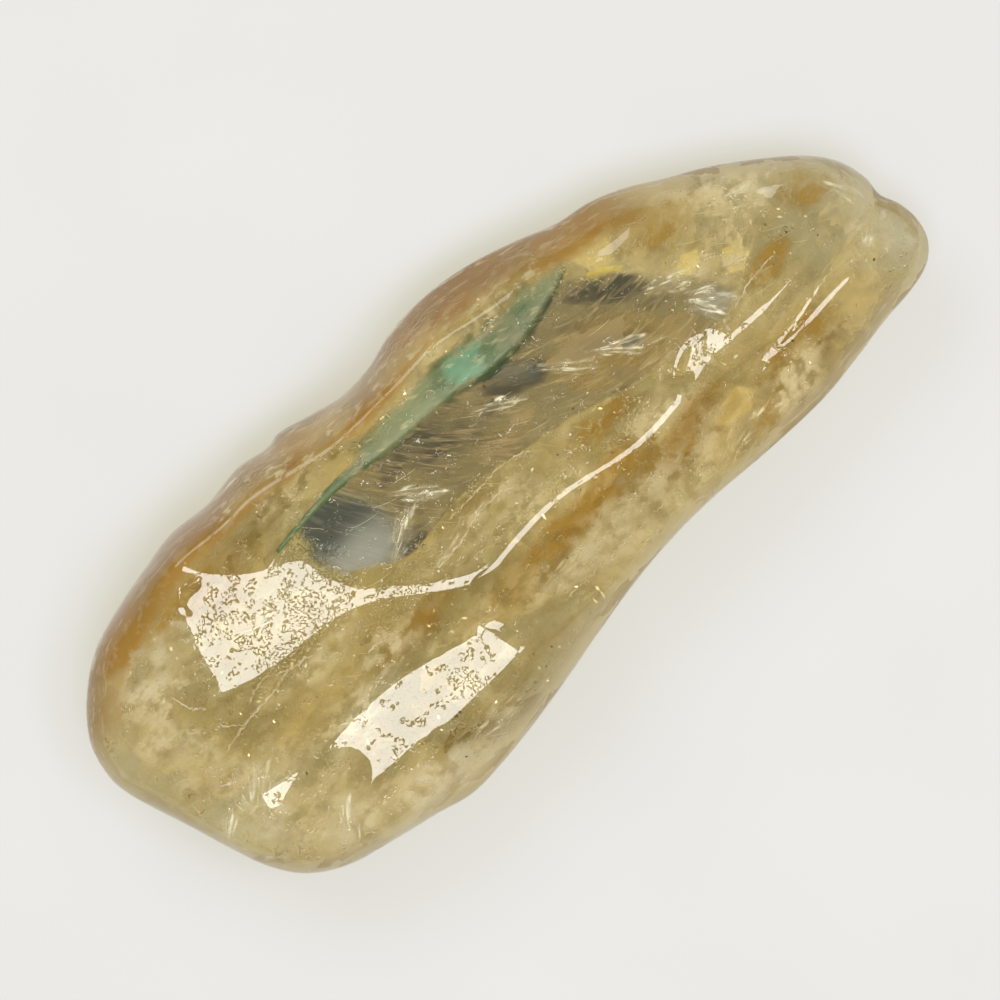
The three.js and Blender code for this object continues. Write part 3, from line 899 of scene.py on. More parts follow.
def paintedDarkWindow(settings):
    material, nodes, shader = newMaterial("smoky window")
    place = nodes.place()
    soft = nodes.use(flatNoise, place=place, **settings["soft"])
    shard = nodes.use(shards, place=place, noise=soft, **settings["shards"])
    drawn = nodes.vector(nodes.amount("streakAlong"), nodes.amount("streakAcross"))
    streaks = nodes.noise(drawn, 1.0, 3.0, roughness=0.68, distortion=0.8, dimensions="2D")
    uneven = nodes.plus(soft, nodes.times(nodes.minus(shard, 0.5), 0.25))
    dark = raggedAmount(nodes, "darkSmoke", uneven, 1.6, 0.4)
    cool = raggedAmount(nodes, "coolSmoke", soft, 0.8, 0.45)
    gold = raggedAmount(nodes, "goldSmoke", uneven, 1.6, 0.3)
    colour = nodes.mix(gold, settings["olive"], settings["gold"])
    # painted darkness, then a painted cool grey that the lighter amount brightens
    colour = nodes.mix(dark, colour, settings["dark"])
    coolColour = nodes.mix(nodes.amount("coolLight"), settings["coolDark"], settings["cool"])
    colour = nodes.mix(cool, colour, coolColour)
    pale = nodes.mix(cool, settings["streak"], settings["whiteStreak"])
    notCool = nodes.minus(1.0, nodes.times(cool, 0.8))
    streakMask = nodes.ramp(streaks, 0.44, 0.72)
    streakMask = nodes.times(streakMask, nodes.ramp(uneven, 0.35, 0.6, 0.25, 1.0), notCool)
    paleShard = nodes.times(nodes.ramp(shard, 0.8, 0.84), nodes.ramp(gold, 0.3, 1.0, 0.1, 0.6))
    colour = nodes.mix(nodes.most(streakMask, paleShard), colour, pale)
    border = nodes.ramp(nodes.amount("inward"), 0.0, 0.15)
    border = raggedAmount(nodes, border, soft, 1.6, 0.4)
    cover = nodes.ramp(nodes.most(dark, cool), 0.0, 1.0, *settings["cover"])
    cover = nodes.times(nodes.most(cover, nodes.times(streakMask, 0.8)), border)
    finishVeil(nodes, shader, colour, cover, settings["roughness"], settings["specular"])
    return material


def roundedBorder(corners, count, cuts=0):
    # even steps along the line through the corners, anticlockwise so that the faces point outwards
    corners = np.array(corners, float)
    for _ in range(cuts):
        # each cut takes a quarter of the line off at both of its ends
        after = np.roll(corners, -1, axis=0)
        corners = np.stack([0.75 * corners + 0.25 * after, 0.25 * corners + 0.75 * after], 1).reshape(-1, 2)
    closed = np.concatenate([corners, corners[:1]])
    lengths = np.concatenate([[0], np.cumsum(np.linalg.norm(np.diff(closed, axis=0), axis=1))])
    wanted = np.linspace(0, lengths[-1], count, endpoint=False)
    border = np.stack([np.interp(wanted, lengths, closed[:, axis]) for axis in (0, 1)], 1)
    isClockwise = (np.diff(closed[:, 0]) * (closed[1:, 1] + closed[:-1, 1])).sum() > 0
    return border[::-1] if isClockwise else border


windowBorder = roundedBorder(window["corners"], wideShape["round"], cuts=2)
windowPoints, windowFaces, windowAmounts = lens(
    windowBorder, windowBorder.mean(0), lambda x, y: depthAt(x, y, window["level"]),
    window["thickness"], wideShape["windowRings"],
)
windowAmounts.update(zoneAmounts(windowPoints, "darkSmoke", "coolSmoke", "coolLight", "goldSmoke"))
streakTurn = np.interp(windowPoints[:, 0], window["streakEnds"], window["streakTurns"])
turnX, turnY = np.cos(streakTurn), np.sin(streakTurn)
offX, offY = (windowPoints[:, :2] - window["streakMiddle"]).T
windowAmounts["streakAlong"] = (offX * turnX + offY * turnY) / window["streakLength"]
windowAmounts["streakAcross"] = (offY * turnX - offX * turnY) / window["streakWidth"]
pieces.append(makePiece("smoky_window", windowPoints, windowFaces, paintedDarkWindow(window), windowAmounts))


# The green line: a fracture that shows green along the upper border of the clear zone.
greenLine = {
    "path": [  # x, y, width
        (-13.2, 7.25, 0.3), (-10.5, 7.75, 0.45), (-8.2, 8.15, 0.6), (-6.3, 8.4, 0.9), (-4.2, 8.7, 2),
        (0, 9.1, 3.1), (2.7, 9.2, 3), (5, 9, 3.3), (7.8, 9.2, 3.4), (10.5, 9.7, 2.4), (13, 10, 0.6),
    ],
    "level": 0.86,
    "thickness": 0.3,
    "steps": 110,
    "soft": {"size": 0.0013, "stretch": 2.2, "turn": -0.1, "shift": 0.3, "detail": 2.0},
    "fine": {"size": 0.0004, "stretch": 4.0, "turn": 0.2, "shift": 0.6, "detail": 2.0},
    "roughness": 0.35,
    "lit": ((-9, -6), (1, 0)),  # along the stone: where the low border shines
    "dusk": ((1, 4), (0, 1)),  # and where it is dark
    "cover": ((-13, -8, -5, 1, 3, 6, 9, 13), (0.95, 0.95, 0.8, 0.85, 0.9, 0.85, 0.7, 0.55)),
    "deep": (0.06, 0.15, 0.055),
    "grey": (0.215, 0.225, 0.115),
    "pale": (0.215, 0.27, 0.13),
    "teal": (0.14, 0.34, 0.215),
    "bright": (0.13, 0.40, 0.10),
    "duskColour": (0.045, 0.115, 0.045),
    "straw": (0.62, 0.58, 0.34),
}


def ribbonShape(path, level, thickness, steps, roundings=6):
    # a flat closed band along a path: a section with eight corners, swept from one end to the other
    path = np.array(path, float)
    turns = np.linspace(0, len(path) - 1, steps)
    centre = np.stack([np.interp(turns, np.arange(len(path)), path[:, i]) for i in range(3)], 1)
    for _ in range(roundings):
        centre[1:-1] = (centre[:-2] + 2 * centre[1:-1] + centre[2:]) / 4
    heading = np.gradient(centre[:, :2], axis=0)
    heading /= np.linalg.norm(heading, axis=1)[:, None]
    sideways = np.stack([-heading[:, 1], heading[:, 0]], 1)
    height = depthAt(centre[:, 0], centre[:, 1], level)
    section = ((-0.5, 0), (-0.25, -1), (0, -1), (0.25, -1), (0.5, 0), (0.25, 1), (0, 1), (-0.25, 1))
    points, across = [], []
    for i in range(steps):
        for share, up in section:
            x, y = centre[i, :2] + sideways[i] * share * centre[i, 2]
            points.append([x, y, height[i] + up * thickness / 2])
            across.append(2 * share)
    count = len(section)
    faces = [tuple(reversed(range(count))), tuple((steps - 1) * count + i for i in range(count))]
    for i in range(steps - 1):
        for j in range(count):
            nextJ = (j + 1) % count
            here, there = i * count, (i + 1) * count
            faces.append((here + j, here + nextJ, there + nextJ, there + j))
    return keptInside(np.array(points)), faces, {"across": np.array(across)}


def greenFracture(settings):
    material, nodes, shader = newMaterial("green fracture")
    place = nodes.place()
    soft = nodes.use(flatNoise, place=place, **settings["soft"])
    fine = nodes.use(flatNoise, place=place, **settings["fine"])
    across, lit = nodes.amount("across"), nodes.amount("lit")
    pale = raggedAmount(nodes, "paleGreen", soft, 1.6, 0.4)
    teal = raggedAmount(nodes, "teal", soft, 1.2, 0.35)
    colour = nodes.mix(nodes.ramp(soft, 0.38, 0.6), settings["deep"], settings["grey"])
    colour = nodes.mix(pale, colour, settings["pale"])
    colour = nodes.mix(teal, colour, settings["teal"])
    lowBorder = nodes.ramp(nodes.distance(across, -0.8), 0.0, 0.25, 0.9, 0.0)
    dusk = nodes.times(lowBorder, nodes.amount("dusk"))
    colour = nodes.mix(nodes.times(lowBorder, lit), colour, settings["bright"])
    colour = nodes.mix(dusk, colour, settings["duskColour"])
    colour = nodes.mix(nodes.ramp(fine, 0.56, 0.7, 0.0, 0.6), colour, settings["straw"])
    fadeStart = nodes.ramp(nodes.ramp(across, -0.4, 0.4), 0.0, 1.0, 0.6, 0.35)
    ragged = nodes.plus(nodes.distance(across, 0.0), nodes.ramp(soft, 0.35, 0.65, -0.25, 0.25))
    edge = nodes.ramp(ragged, fadeStart, 1.0, 1.0, 0.0)
    edge = nodes.most(edge, nodes.times(lowBorder, nodes.most(lit, dusk)))
    cover = nodes.times(edge, nodes.ramp(soft, 0.3, 0.6, 0.6, 1.0), nodes.amount("cover"))
    finishVeil(nodes, shader, colour, cover, settings["roughness"])
    return material


greenPoints, greenFaces, greenAmounts = ribbonShape(
    greenLine["path"], greenLine["level"], greenLine["thickness"], greenLine["steps"]
)
greenAmounts.update(zoneAmounts(greenPoints, "paleGreen", "teal"))
for greenName in ("lit", "dusk", "cover"):
    greenAmounts[greenName] = np.interp(greenPoints[:, 0], *greenLine[greenName])
pieces.append(makePiece("green_fracture", greenPoints, greenFaces, greenFracture(greenLine), greenAmounts))


# Panels: flat fractures with crisp borders, which light up gold or amber.
panels = {
    "thickness": 0.15,
    "level": 0.66,
    "soft": {"size": 0.0012, "stretch": 2.5, "turn": 0.4, "shift": 0.8, "detail": 2.0},
    "fine": {"size": 0.0004, "stretch": 3.0, "turn": -0.5, "shift": 0.1, "detail": 2.0},
    "roughness": 0.3,
    "gold": (0.80, 0.62, 0.24),
    "yellow": (0.98, 0.80, 0.12),
    "amber": (0.50, 0.30, 0.035),
    "pale": (0.92, 0.82, 0.55),
    "shapes": [  # corners, share of yellow, share of amber, cover
        (((11.7, 11.6), (13.8, 11.2), (16.2, 9.9), (17, 9), (16.2, 7.8), (14.6, 8.1), (12.7, 9.8)),
         0, 0, 0.8),
        (((12.2, 12.1), (13.2, 12.7), (15.7, 12), (17.4, 10.7), (17.6, 9.2), (16.4, 10.2), (13.8, 11.5)),
         0, 1, 0.9),
        (((13.6, 8.9), (15, 8.5), (16.5, 7.5), (15.9, 7.1), (14.6, 7.7), (13.5, 8.3)), 0.7, 0, 0.7),
        (((9.8, -1.9), (12, -1.7), (14.3, -2.1), (13.2, -3.1), (11.7, -4.2), (10.3, -3.1)), 0.1, 0.9, 0.9),
        (((14.4, -2.6), (17.2, -2.4), (18.6, -3.6), (17, -4.8), (14.8, -4.6), (13.6, -3.6)), 0.1, 0.2, 0.6),
        (((18, 4.9), (19.4, 5.9), (20.9, 5.5), (20.4, 4.6), (19, 4.2)), 0.4, 0, 0.6),
        (((20.9, 2.6), (21.6, 4.8), (23, 4.4), (23.4, 3), (22.2, 2)), 0.3, 0, 0.6),
        (((2.4, -1.9), (5, -1.3), (8.4, -1), (9.6, -1.7), (6.6, -2.6), (3.6, -2.9)), 0, 1, 0.6),
        (((-9, 11.9), (-6.6, 11.6), (-3.2, 10.6), (-2.4, 9.6), (-5.6, 10), (-8.6, 10.6)), 0, 0.9, 0.55),
    ],
}


def goldenPanel(settings):
    material, nodes, shader = newMaterial("golden panel")
    place = nodes.place()
    soft = nodes.use(flatNoise, place=place, **settings["soft"])
    fine = nodes.use(flatNoise, place=place, **settings["fine"])
    colour = nodes.mix(nodes.amount("yellow"), settings["gold"], settings["yellow"])
    colour = nodes.mix(nodes.amount("amber"), colour, settings["amber"])
    colour = nodes.mix(nodes.ramp(fine, 0.55, 0.72, 0.0, 0.5), colour, settings["pale"])
    border = nodes.ramp(nodes.amount("inward"), 0.0, 0.5)
    border = raggedAmount(nodes, border, soft, 1.5, 0.3)
    cover = nodes.times(border, nodes.ramp(soft, 0.3, 0.6, 0.45, 1.0), nodes.amount("cover"))
    finishVeil(nodes, shader, colour, cover, settings["roughness"])
    return material


def panelShape(corners, yellow, amber, cover, settings):
    border = roundedBorder(corners, lensShape["round"])
    middle = np.array(corners).mean(0)
    shape = lens(border, middle, lambda x, y: depthAt(x, y, settings["level"]), settings["thickness"])
    for name, value in (("yellow", yellow), ("amber", amber), ("cover", cover)):
        shape[2][name] = np.full(len(shape[0]), value)
    return shape


panelPoints, panelFaces, panelAmounts = joinShapes(
    [panelShape(*measures, panels) for measures in panels["shapes"]]
)
pieces.append(makePiece("golden_panels", panelPoints, panelFaces, goldenPanel(panels), panelAmounts))
print("stage 5: window, green and golden fractures ready")


# Feathers: healed fractures, each a thin tilted lens whose streaks fan out from one end.
feathers = {
    "white": (0.93, 0.90, 0.78),
    "gold": (0.95, 0.75, 0.28),
    "between": (0.5, 0.44, 0.26),
    "patches": {"size": 0.0009, "stretch": 1.4, "shift": 0.5, "detail": 1.0},
    "roughness": 0.3,
    "firstSeed": 21,
    "thickness": 0.12,
    "waves": (2, 11),  # round the border, from and up to
    "waveHeight": 0.22,
    "fanStart": 1.3,  # half lengths behind the middle, where the streaks begin
    "fanScale": 5,
    "reachScale": 0.5,
    "kindStep": 3.7,  # sets the streaks of one feather apart from the next
    "lenses": [  # x, y, level, half length, half width, turn, tilt along, tilt across, share of gold
        (19.1, 2.3, 0.86, 2.1, 1.2, -0.68, 0.1, 0.1, 0), (22.5, 3.2, 0.68, 1.8, 1.2, 0.9, 0.2, -0.2, 0.7),
        (29.6, -1.2, 0.65, 0.9, 0.6, 0.9, 0.1, 0.1, 0), (-23.2, -3, 0.75, 2.6, 1.9, 0.9, 0.1, -0.1, 0),
        (-6, 3.3, 0.86, 2.3, 0.8, 0.6, 0.1, 0.1, 0), (-20.6, -9.3, 0.7, 1.7, 0.8, 0.9, 0.1, 0.1, 0),
        (11.2, 7.4, 0.6, 3.2, 0.7, -0.3, 0.1, 0.3, 0.3), (2.4, 3.4, 0.65, 3.6, 0.9, 0.2, 0, 0.3, 0.1),
        (-13.6, -3.6, 0.75, 3.6, 0.9, 0.4, 0, 0.3, 0.1), (0.5, -5, 0.7, 4.2, 0.9, 0.05, 0.1, -0.2, 0.1),
        (7.4, 3.6, 0.6, 3, 0.8, 0.3, 0.2, 0.1, 0.4), (24.6, 6.2, 0.65, 3.2, 1, -0.35, 0.1, 0.2, 0.1),
        (-26.6, -4.4, 0.7, 1.4, 0.5, 0.8, -0.1, 0.1, 0), (-9, -9.6, 0.65, 3, 0.8, 0.1, 0, 0.1, 0.2),
        (17, -5.4, 0.65, 3.2, 0.8, 0.1, 0.1, 0.2, 0.2), (-7.6, 12.2, 0.65, 2.2, 0.8, 0.1, 0.1, 0.1, 0),
        (5.4, 12.6, 0.6, 2.8, 0.6, 0, 0.1, -0.2, 0.2), (-3, 0.9, 0.7, 3.4, 0.7, 0.3, 0.1, 0.2, 0),
        (-12, 12.3, 0.75, 3, 0.7, 0, 0, 0.1, 0), (13.8, -5.6, 0.6, 2.6, 0.7, 0.5, 0.2, 0.1, 0.6),
        (16.2, 6.4, 0.6, 2.6, 0.6, -0.7, 0.1, 0.2, 0.5), (30.4, 2.4, 0.7, 1.8, 0.6, -1, 0.1, 0, 0),
        (13.2, 3.4, 0.86, 2.4, 0.7, -0.5, 0.1, 0.1, 0.3), (9.2, 4.8, 0.86, 2.2, 0.6, -0.6, 0.1, 0.2, 0.2),
        (17.8, 4.9, 0.85, 1.9, 0.8, -0.3, 0.1, 0.1, 0.1), (4.4, 5.6, 0.86, 2, 0.5, -0.4, 0.1, 0.2, 0.1),
        (-3.4, 4.4, 0.86, 2.6, 0.6, -0.6, 0.1, 0.1, 0),
    ],
}


def featherQuartz(settings):
    material, nodes, shader = newMaterial("feather fractures")
    own = nodes.vector(nodes.amount("fan"), nodes.amount("reach"), nodes.amount("kind"))
    streaks = nodes.ramp(nodes.noise(own, 1.0, 2.0, roughness=0.62, distortion=0.5), 0.46, 0.66)
    patches = nodes.use(flatNoise, place=nodes.place(), **settings["patches"])
    cover = nodes.times(streaks, nodes.ramp(patches, 0.4, 0.62, 0.25, 1.0), 0.75)
    cover = nodes.times(nodes.plus(cover, 0.08), nodes.ramp(nodes.amount("inward"), 0.0, 0.4))
    colour = nodes.mix(nodes.amount("gold"), settings["white"], settings["gold"])
    colour = nodes.mix(streaks, settings["between"], colour)
    finishVeil(nodes, shader, colour, cover, settings["roughness"])
    return material


def featherShape(x, y, level, halfLength, halfWidth, turn, tiltAlong, tiltAcross, gold, seed):
    rng = np.random.default_rng(seed)
    angles = np.linspace(0, 2 * math.pi, lensShape["round"], endpoint=False)
    wobble = np.ones_like(angles)
    for waves in range(*feathers["waves"]):
        height = feathers["waveHeight"] / waves ** 0.5 * rng.uniform(0.3, 1)
        wobble += height * np.sin(waves * angles + rng.uniform(0, 6.28))
    along, across = halfLength * np.cos(angles) * wobble, halfWidth * np.sin(angles) * wobble
    border = np.stack([
        x + along * math.cos(turn) - across * math.sin(turn),
        y + along * math.sin(turn) + across * math.cos(turn),
    ], 1)
    middleZ = depthAt(x, y, level)[0]
    bend = rng.uniform(-0.05, 0.05)

    def heightAt(pointX, pointY):
        offX, offY = pointX - x, pointY - y
        return middleZ + tiltAlong * offX + tiltAcross * offY + bend * (offX ** 2 + offY ** 2) / halfLength
    points, faces, amounts = lens(border, (x, y), heightAt, feathers["thickness"])
    offX, offY = points[:, 0] - x, points[:, 1] - y
    along = offX * math.cos(turn) + offY * math.sin(turn) + feathers["fanStart"] * halfLength
    across = offY * math.cos(turn) - offX * math.sin(turn)
    amounts["fan"] = np.arctan2(across, along) * halfLength * feathers["fanScale"]
    amounts["reach"] = np.hypot(along, across) * feathers["reachScale"]
    amounts["kind"] = np.full(len(points), feathers["kindStep"] * seed)
    amounts["gold"] = np.full(len(points), gold)
    return points, faces, amounts


featherPoints, featherFaces, featherAmounts = joinShapes([
    featherShape(*measures, seed) for seed, measures in enumerate(feathers["lenses"], feathers["firstSeed"])
])
pieces.append(
    makePiece("feather_fractures", featherPoints, featherFaces, featherQuartz(feathers), featherAmounts)
)


# Cracks: thin pale ragged lines near the front.
cracks = {
    "level": 0.86,
    "thickness": 0.08,
    "stepsPerMm": 6,
    "wander": 0.05,
    "widthShares": (0.35, 1.5),
    "endWidth": 0.02,
    "colour": (0.86, 0.76, 0.60),
    "otherColour": (0.62, 0.47, 0.28),
    "paths": [  # corners, width, seed
        (((-24.5, 4.4), (-23.9, 2.9), (-23.1, 2.3)), 0.12, 1),
        (((-24, -0.5), (-22, 0.1), (-19.5, 0.5), (-17.5, 1.1), (-15.6, 0.9)), 0.16, 2),
        (((-23.5, 1.2), (-22, 0.1)), 0.1, 3), (((-21, 0.9), (-19.2, 1.7), (-17.5, 1.1)), 0.1, 4),
        (((-12.7, -1.3), (-11.5, -1.2), (-10.6, -1.3)), 0.22, 5),
        (((-5, -0.1), (-3.5, 0.3), (-1.5, 1), (0.8, 1.2)), 0.12, 6),
        (((-3.2, 1.9), (-1.3, 2.1), (1.5, 2.5), (3.4, 2.3)), 0.1, 7),
        (((-0.4, -6.8), (4.1, -6.4), (8.4, -5.9)), 0.1, 8), (((-28, -2), (-28, -3.3)), 0.16, 11),
        (((-26.4, -1.6), (-25.2, -2.4), (-24.6, -1.9)), 0.18, 12),
        (((20, 0.9), (21.9, 1.6), (24.4, 2)), 0.1, 13),
    ],
}


def crackShape(corners, width, seed, settings):
    rng = np.random.default_rng(seed)
    corners = np.array(corners)
    length = np.linalg.norm(np.diff(corners, axis=0), axis=1).sum()
    steps = int(settings["stepsPerMm"] * length) + settings["stepsPerMm"]
    turns = np.linspace(0, len(corners) - 1, steps)
    path = np.stack([np.interp(turns, np.arange(len(corners)), corners[:, axis]) for axis in (0, 1)], 1)
    path += settings["wander"] * rng.standard_normal(path.shape)
    widths = width * rng.uniform(*settings["widthShares"], steps)
    widths[[0, -1]] = settings["endWidth"]
    return ribbonShape(np.column_stack([path, widths]), settings["level"], settings["thickness"], steps, 0)


smallMottle = {"size": 0.0009, "stretch": 1.5, "shift": 0.9, "detail": 2.0}


def mottledMaterial(name, colour, otherColour, roughness, metallic=0.0):
    material, nodes, shader = newMaterial(name)
    mottle = nodes.use(flatNoise, place=nodes.place(), **smallMottle)
    colour = nodes.mix(nodes.ramp(mottle, 0.35, 0.65), colour, otherColour)
    nodes.feed(shader.inputs["Base Color"], colour)
    shader.inputs["Roughness"].default_value = roughness
    shader.inputs["Metallic"].default_value = metallic
    return material


crackPoints, crackFaces, crackAmounts = joinShapes(
    [crackShape(corners, width, seed, cracks) for corners, width, seed in cracks["paths"]]
)
crackMaterial = mottledMaterial("crack", cracks["colour"], cracks["otherColour"], 0.4)
pieces.append(makePiece("fine_cracks", crackPoints, crackFaces, crackMaterial, crackAmounts))
print("stage 6: feathers and cracks ready")


# Small things that repeat: fibres, glints and specks, scattered by Geometry Nodes.
def needleShape(nodes, given):
    ball = nodes.add("GeometryNodeMeshUVSphere", {"Segments": 4, "Rings": 8, "Radius": 0.5})
    laid = nodes.add("GeometryNodeTransform", {
        "Geometry": ball.outputs["Mesh"], "Rotation": (0, math.pi / 2, 0),
    })
    size = nodes.vector(given["Length"], given["Width"], given["Width"])
    sized = nodes.add("GeometryNodeTransform", {"Geometry": laid.outputs[0], "Scale": size})
    along = nodes.add("ShaderNodeSeparateXYZ", {0: nodes.add("GeometryNodeInputPosition").outputs[0]})
    share = nodes.math("DIVIDE", along.outputs["X"], given["Length"])
    bow = nodes.vector(y=nodes.times(share, share, given["Bow"]))
    return nodes.add("GeometryNodeSetPosition", {"Geometry": sized.outputs[0], "Offset": bow}).outputs[0]


def sizedShape(kind, settings, thickness):
    # a plain shape drawn out to its sizes, where thickness names the setting that gives the third
    def shape(nodes, given):
        made = nodes.add(kind, settings).outputs["Mesh"]
        size = nodes.vector(given["Length"], given["Width"], given[thickness])
        return nodes.add("GeometryNodeTransform", {"Geometry": made, "Scale": size}).outputs[0]
    return shape


def scatterTree(name, shape):
    tree = bpy.data.node_groups.new(name, "GeometryNodeTree")
    nodes = Nodes(tree)
    kinds = {"Guide": "Geometry", "Seed": "Int", "Material": "Material"}
    for socketName in (
        "Guide", "Per Square Metre", "Length", "Width", "Bow", "Depth Spread", "Turn", "Turn Spread",
        "Tilt", "Smallest", "Largest", "Seed", "Material",
    ):
        kind = "NodeSocket" + kinds.get(socketName, "Float")
        tree.interface.new_socket(name=socketName, in_out="INPUT", socket_type=kind)
    tree.interface.new_socket(name="Pieces", in_out="OUTPUT", socket_type="NodeSocketGeometry")
    given = tree.nodes.new("NodeGroupInput").outputs
    amount = nodes.add("GeometryNodeInputNamedAttribute", {"Name": "amount"}, data_type="FLOAT")
    spread = nodes.add("GeometryNodeDistributePointsOnFaces", {
        "Mesh": given["Guide"], "Seed": given["Seed"],
        "Density": nodes.times(amount.outputs[0], given["Per Square Metre"]),
    })

    def randomFloat(low, high, step):
        seed = nodes.add("FunctionNodeIntegerMath", {0: given["Seed"], 1: step}, operation="ADD")
        node = nodes.add("FunctionNodeRandomValue", {"Seed": seed.outputs[0]}, data_type="FLOAT")
        nodes.feed(node.inputs[2], low)
        nodes.feed(node.inputs[3], high)
        return node.outputs[1]

    def eitherWay(reach, step):
        return nodes.times(reach, randomFloat(-1.0, 1.0, step))

    lifted = nodes.add("GeometryNodeSetPosition", {
        "Geometry": spread.outputs["Points"], "Offset": nodes.vector(z=eitherWay(given["Depth Spread"], 1)),
    })
    turn = nodes.plus(given["Turn"], eitherWay(given["Turn Spread"], 2))
    angles = nodes.vector(eitherWay(given["Tilt"], 3), eitherWay(given["Tilt"], 4), turn)
    rotation = nodes.add("FunctionNodeEulerToRotation", {"Euler": angles})
    placed = nodes.add("GeometryNodeInstanceOnPoints", {
        "Points": lifted.outputs[0], "Instance": shape(nodes, given), "Rotation": rotation.outputs[0],
        "Scale": randomFloat(given["Smallest"], given["Largest"], 5),
    })
    realized = nodes.add("GeometryNodeRealizeInstances", {"Geometry": placed.outputs[0]})
    finished = nodes.add("GeometryNodeSetMaterial", {
        "Geometry": realized.outputs[0], "Material": given["Material"],
    })
    nodes.feed(tree.nodes.new("NodeGroupOutput").inputs["Pieces"], finished.outputs[0])
    return tree


def guideSheet(level, spots, everywhere, reach=0.88, steps=90):
    # a sheet at one level in the stone, whose amount says how thickly things lie in each place
    middle, border = shrunkOutline(steps, reach)
    rings = steps // 4
    sizes = [ring / rings for ring in range(1, rings + 1)]
    flat = np.concatenate([[middle]] + [middle + (border - middle) * size for size in sizes])
    points = np.column_stack([flat, depthAt(flat[:, 0], flat[:, 1], level)])
    faces = [(0, 1 + j, 1 + (j + 1) % steps) for j in range(steps)]
    for inner in range(1, 1 + (rings - 1) * steps, steps):
        outer = inner + steps
        for j in range(steps):
            nextJ = (j + 1) % steps
            faces.append((inner + j, outer + j, outer + nextJ, inner + nextJ))
    amount = np.full(len(points), float(everywhere))
    for *oval, strength in spots:
        amount = np.maximum(amount, strength * np.exp(-ovalDistance(flat[:, 0], flat[:, 1], *oval)))
    return points, faces, amount


def scatter(pieceName, shape, settings, material):
    points, faces, amount = guideSheet(settings["level"], settings["spots"], settings["everywhere"])
    mesh = bpy.data.meshes.new(pieceName + "_guide")
    mesh.from_pydata(toFrame(points).tolist(), [], faces)
    mesh.attributes.new("amount", "FLOAT", "POINT").data.foreach_set("value", amount)
    guide = bpy.data.objects.new(pieceName + "_guide", mesh)
    scene.collection.objects.link(guide)
    tree = scatterTree(pieceName, shape)
    modifier = guide.modifiers.new("scatter", "NODES")
    modifier.node_group = tree
    values = {"material": material, **settings}
    for name in ("length", "width", "bow", "depthSpread"):
        values[name] *= mm
    for item in tree.interface.items_tree:
        if item.in_out == "INPUT" and item.name != "Guide":
            modifier[item.identifier] = values[item.name[0].lower() + item.name[1:].replace(" ", "")]
    evaluated = guide.evaluated_get(bpy.context.evaluated_depsgraph_get())
    made = bpy.data.meshes.new_from_object(evaluated)
    made.name = pieceName
    bpy.data.objects.remove(guide)
    piece = bpy.data.objects.new(pieceName, made)
    scene.collection.objects.link(piece)
    return piece


fibres = {
    "level": 0.74, "everywhere": 0.03, "perSquareMetre": 900000, "seed": 11,
    "length": 1.4, "width": 0.022, "bow": 0.25, "depthSpread": 0.9,
    "turn": -0.45, "turnSpread": 0.45, "tilt": 0.3, "smallest": 0.3, "largest": 1.5,
    "spots": [  # thick above the crest
        (-9, 5.8, 4, 2, 0.2, 0.25), (-3.4, 5.6, 4.5, 2.6, 0.2, 0.8), (2, 5, 4.5, 2.8, 0.1, 0.9),
        (8, 5, 4.5, 2.8, 0.1, 0.8), (14, 5.6, 4, 2.6, -0.2, 1), (20, 4, 4, 2.5, -0.3, 0.9),
    ],
}
glints = {
    "level": 0.68, "everywhere": 0.6, "perSquareMetre": 600000, "seed": 23,
    "length": 0.26, "width": 0.13, "bow": 0.02, "depthSpread": 1.2,  # the bow is the plates' thickness
    "turn": 0.0, "turnSpread": 3.1, "tilt": 0.4, "smallest": 0.25, "largest": 1.5,
    "spots": [
        (21.5, 3.8, 3.2, 1.8, -0.3, 2.6), (-26, -3, 2.6, 4, 0, 1.3), (-20, -8.5, 4.6, 2, 0.2, 1.6),
        (-11, -11, 6, 1.6, 0, 1.4), (16, 2, 4, 2.4, 0, 1), (1, 11.5, 6, 1.2, 0, 0.8),
        (3.4, 9, 2, 1.2, 0, 1.8), (13.5, 8, 3, 1.2, -0.3, 1.4), (-6.5, -2, 2, 0.8, 0.3, 1.6),
    ],
}
specks = {
    "level": 0.8, "everywhere": 0.12, "perSquareMetre": 300000, "seed": 5,
    "length": 0.2, "width": 0.12, "bow": 0.0, "depthSpread": 0.6,
    "turn": 0.0, "turnSpread": 3.1, "tilt": 0.5, "smallest": 0.3, "largest": 1.3,
    "spots": [
        (15.4, -4.3, 1.4, 1, 0, 1.2), (-16, 5, 4.6, 2.4, 0, 1), (26, 1, 3.4, 2.4, 0, 0.4),
    ],
}
fibreMaterial = mottledMaterial("pale fibre", (0.80, 0.70, 0.42), (0.96, 0.92, 0.76), 0.35)
plateShape = sizedShape("GeometryNodeMeshCylinder", {"Vertices": 5, "Radius": 0.5, "Depth": 1.0}, "Bow")
grainShape = sizedShape("GeometryNodeMeshIcoSphere", {"Radius": 0.5, "Subdivisions": 2}, "Width")
glintMaterial = mottledMaterial("glinting flake", (0.98, 0.86, 0.45), (0.98, 0.96, 0.88), 0.25, metallic=0.5)
speckMaterial = mottledMaterial("dark speck", (0.03, 0.022, 0.012), (0.09, 0.06, 0.03), 0.6)
pieces.append(scatter("fine_fibres", needleShape, fibres, fibreMaterial))
pieces.append(scatter("glint_flakes", plateShape, glints, glintMaterial))
pieces.append(scatter("dark_specks", grainShape, specks, speckMaterial))
print("stage 7: fibres, glints and specks ready")


for piece in pieces:
    if piece is not stoneBody:
        lieInside(piece)
    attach(piece, "root")
    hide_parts(stoneNode)


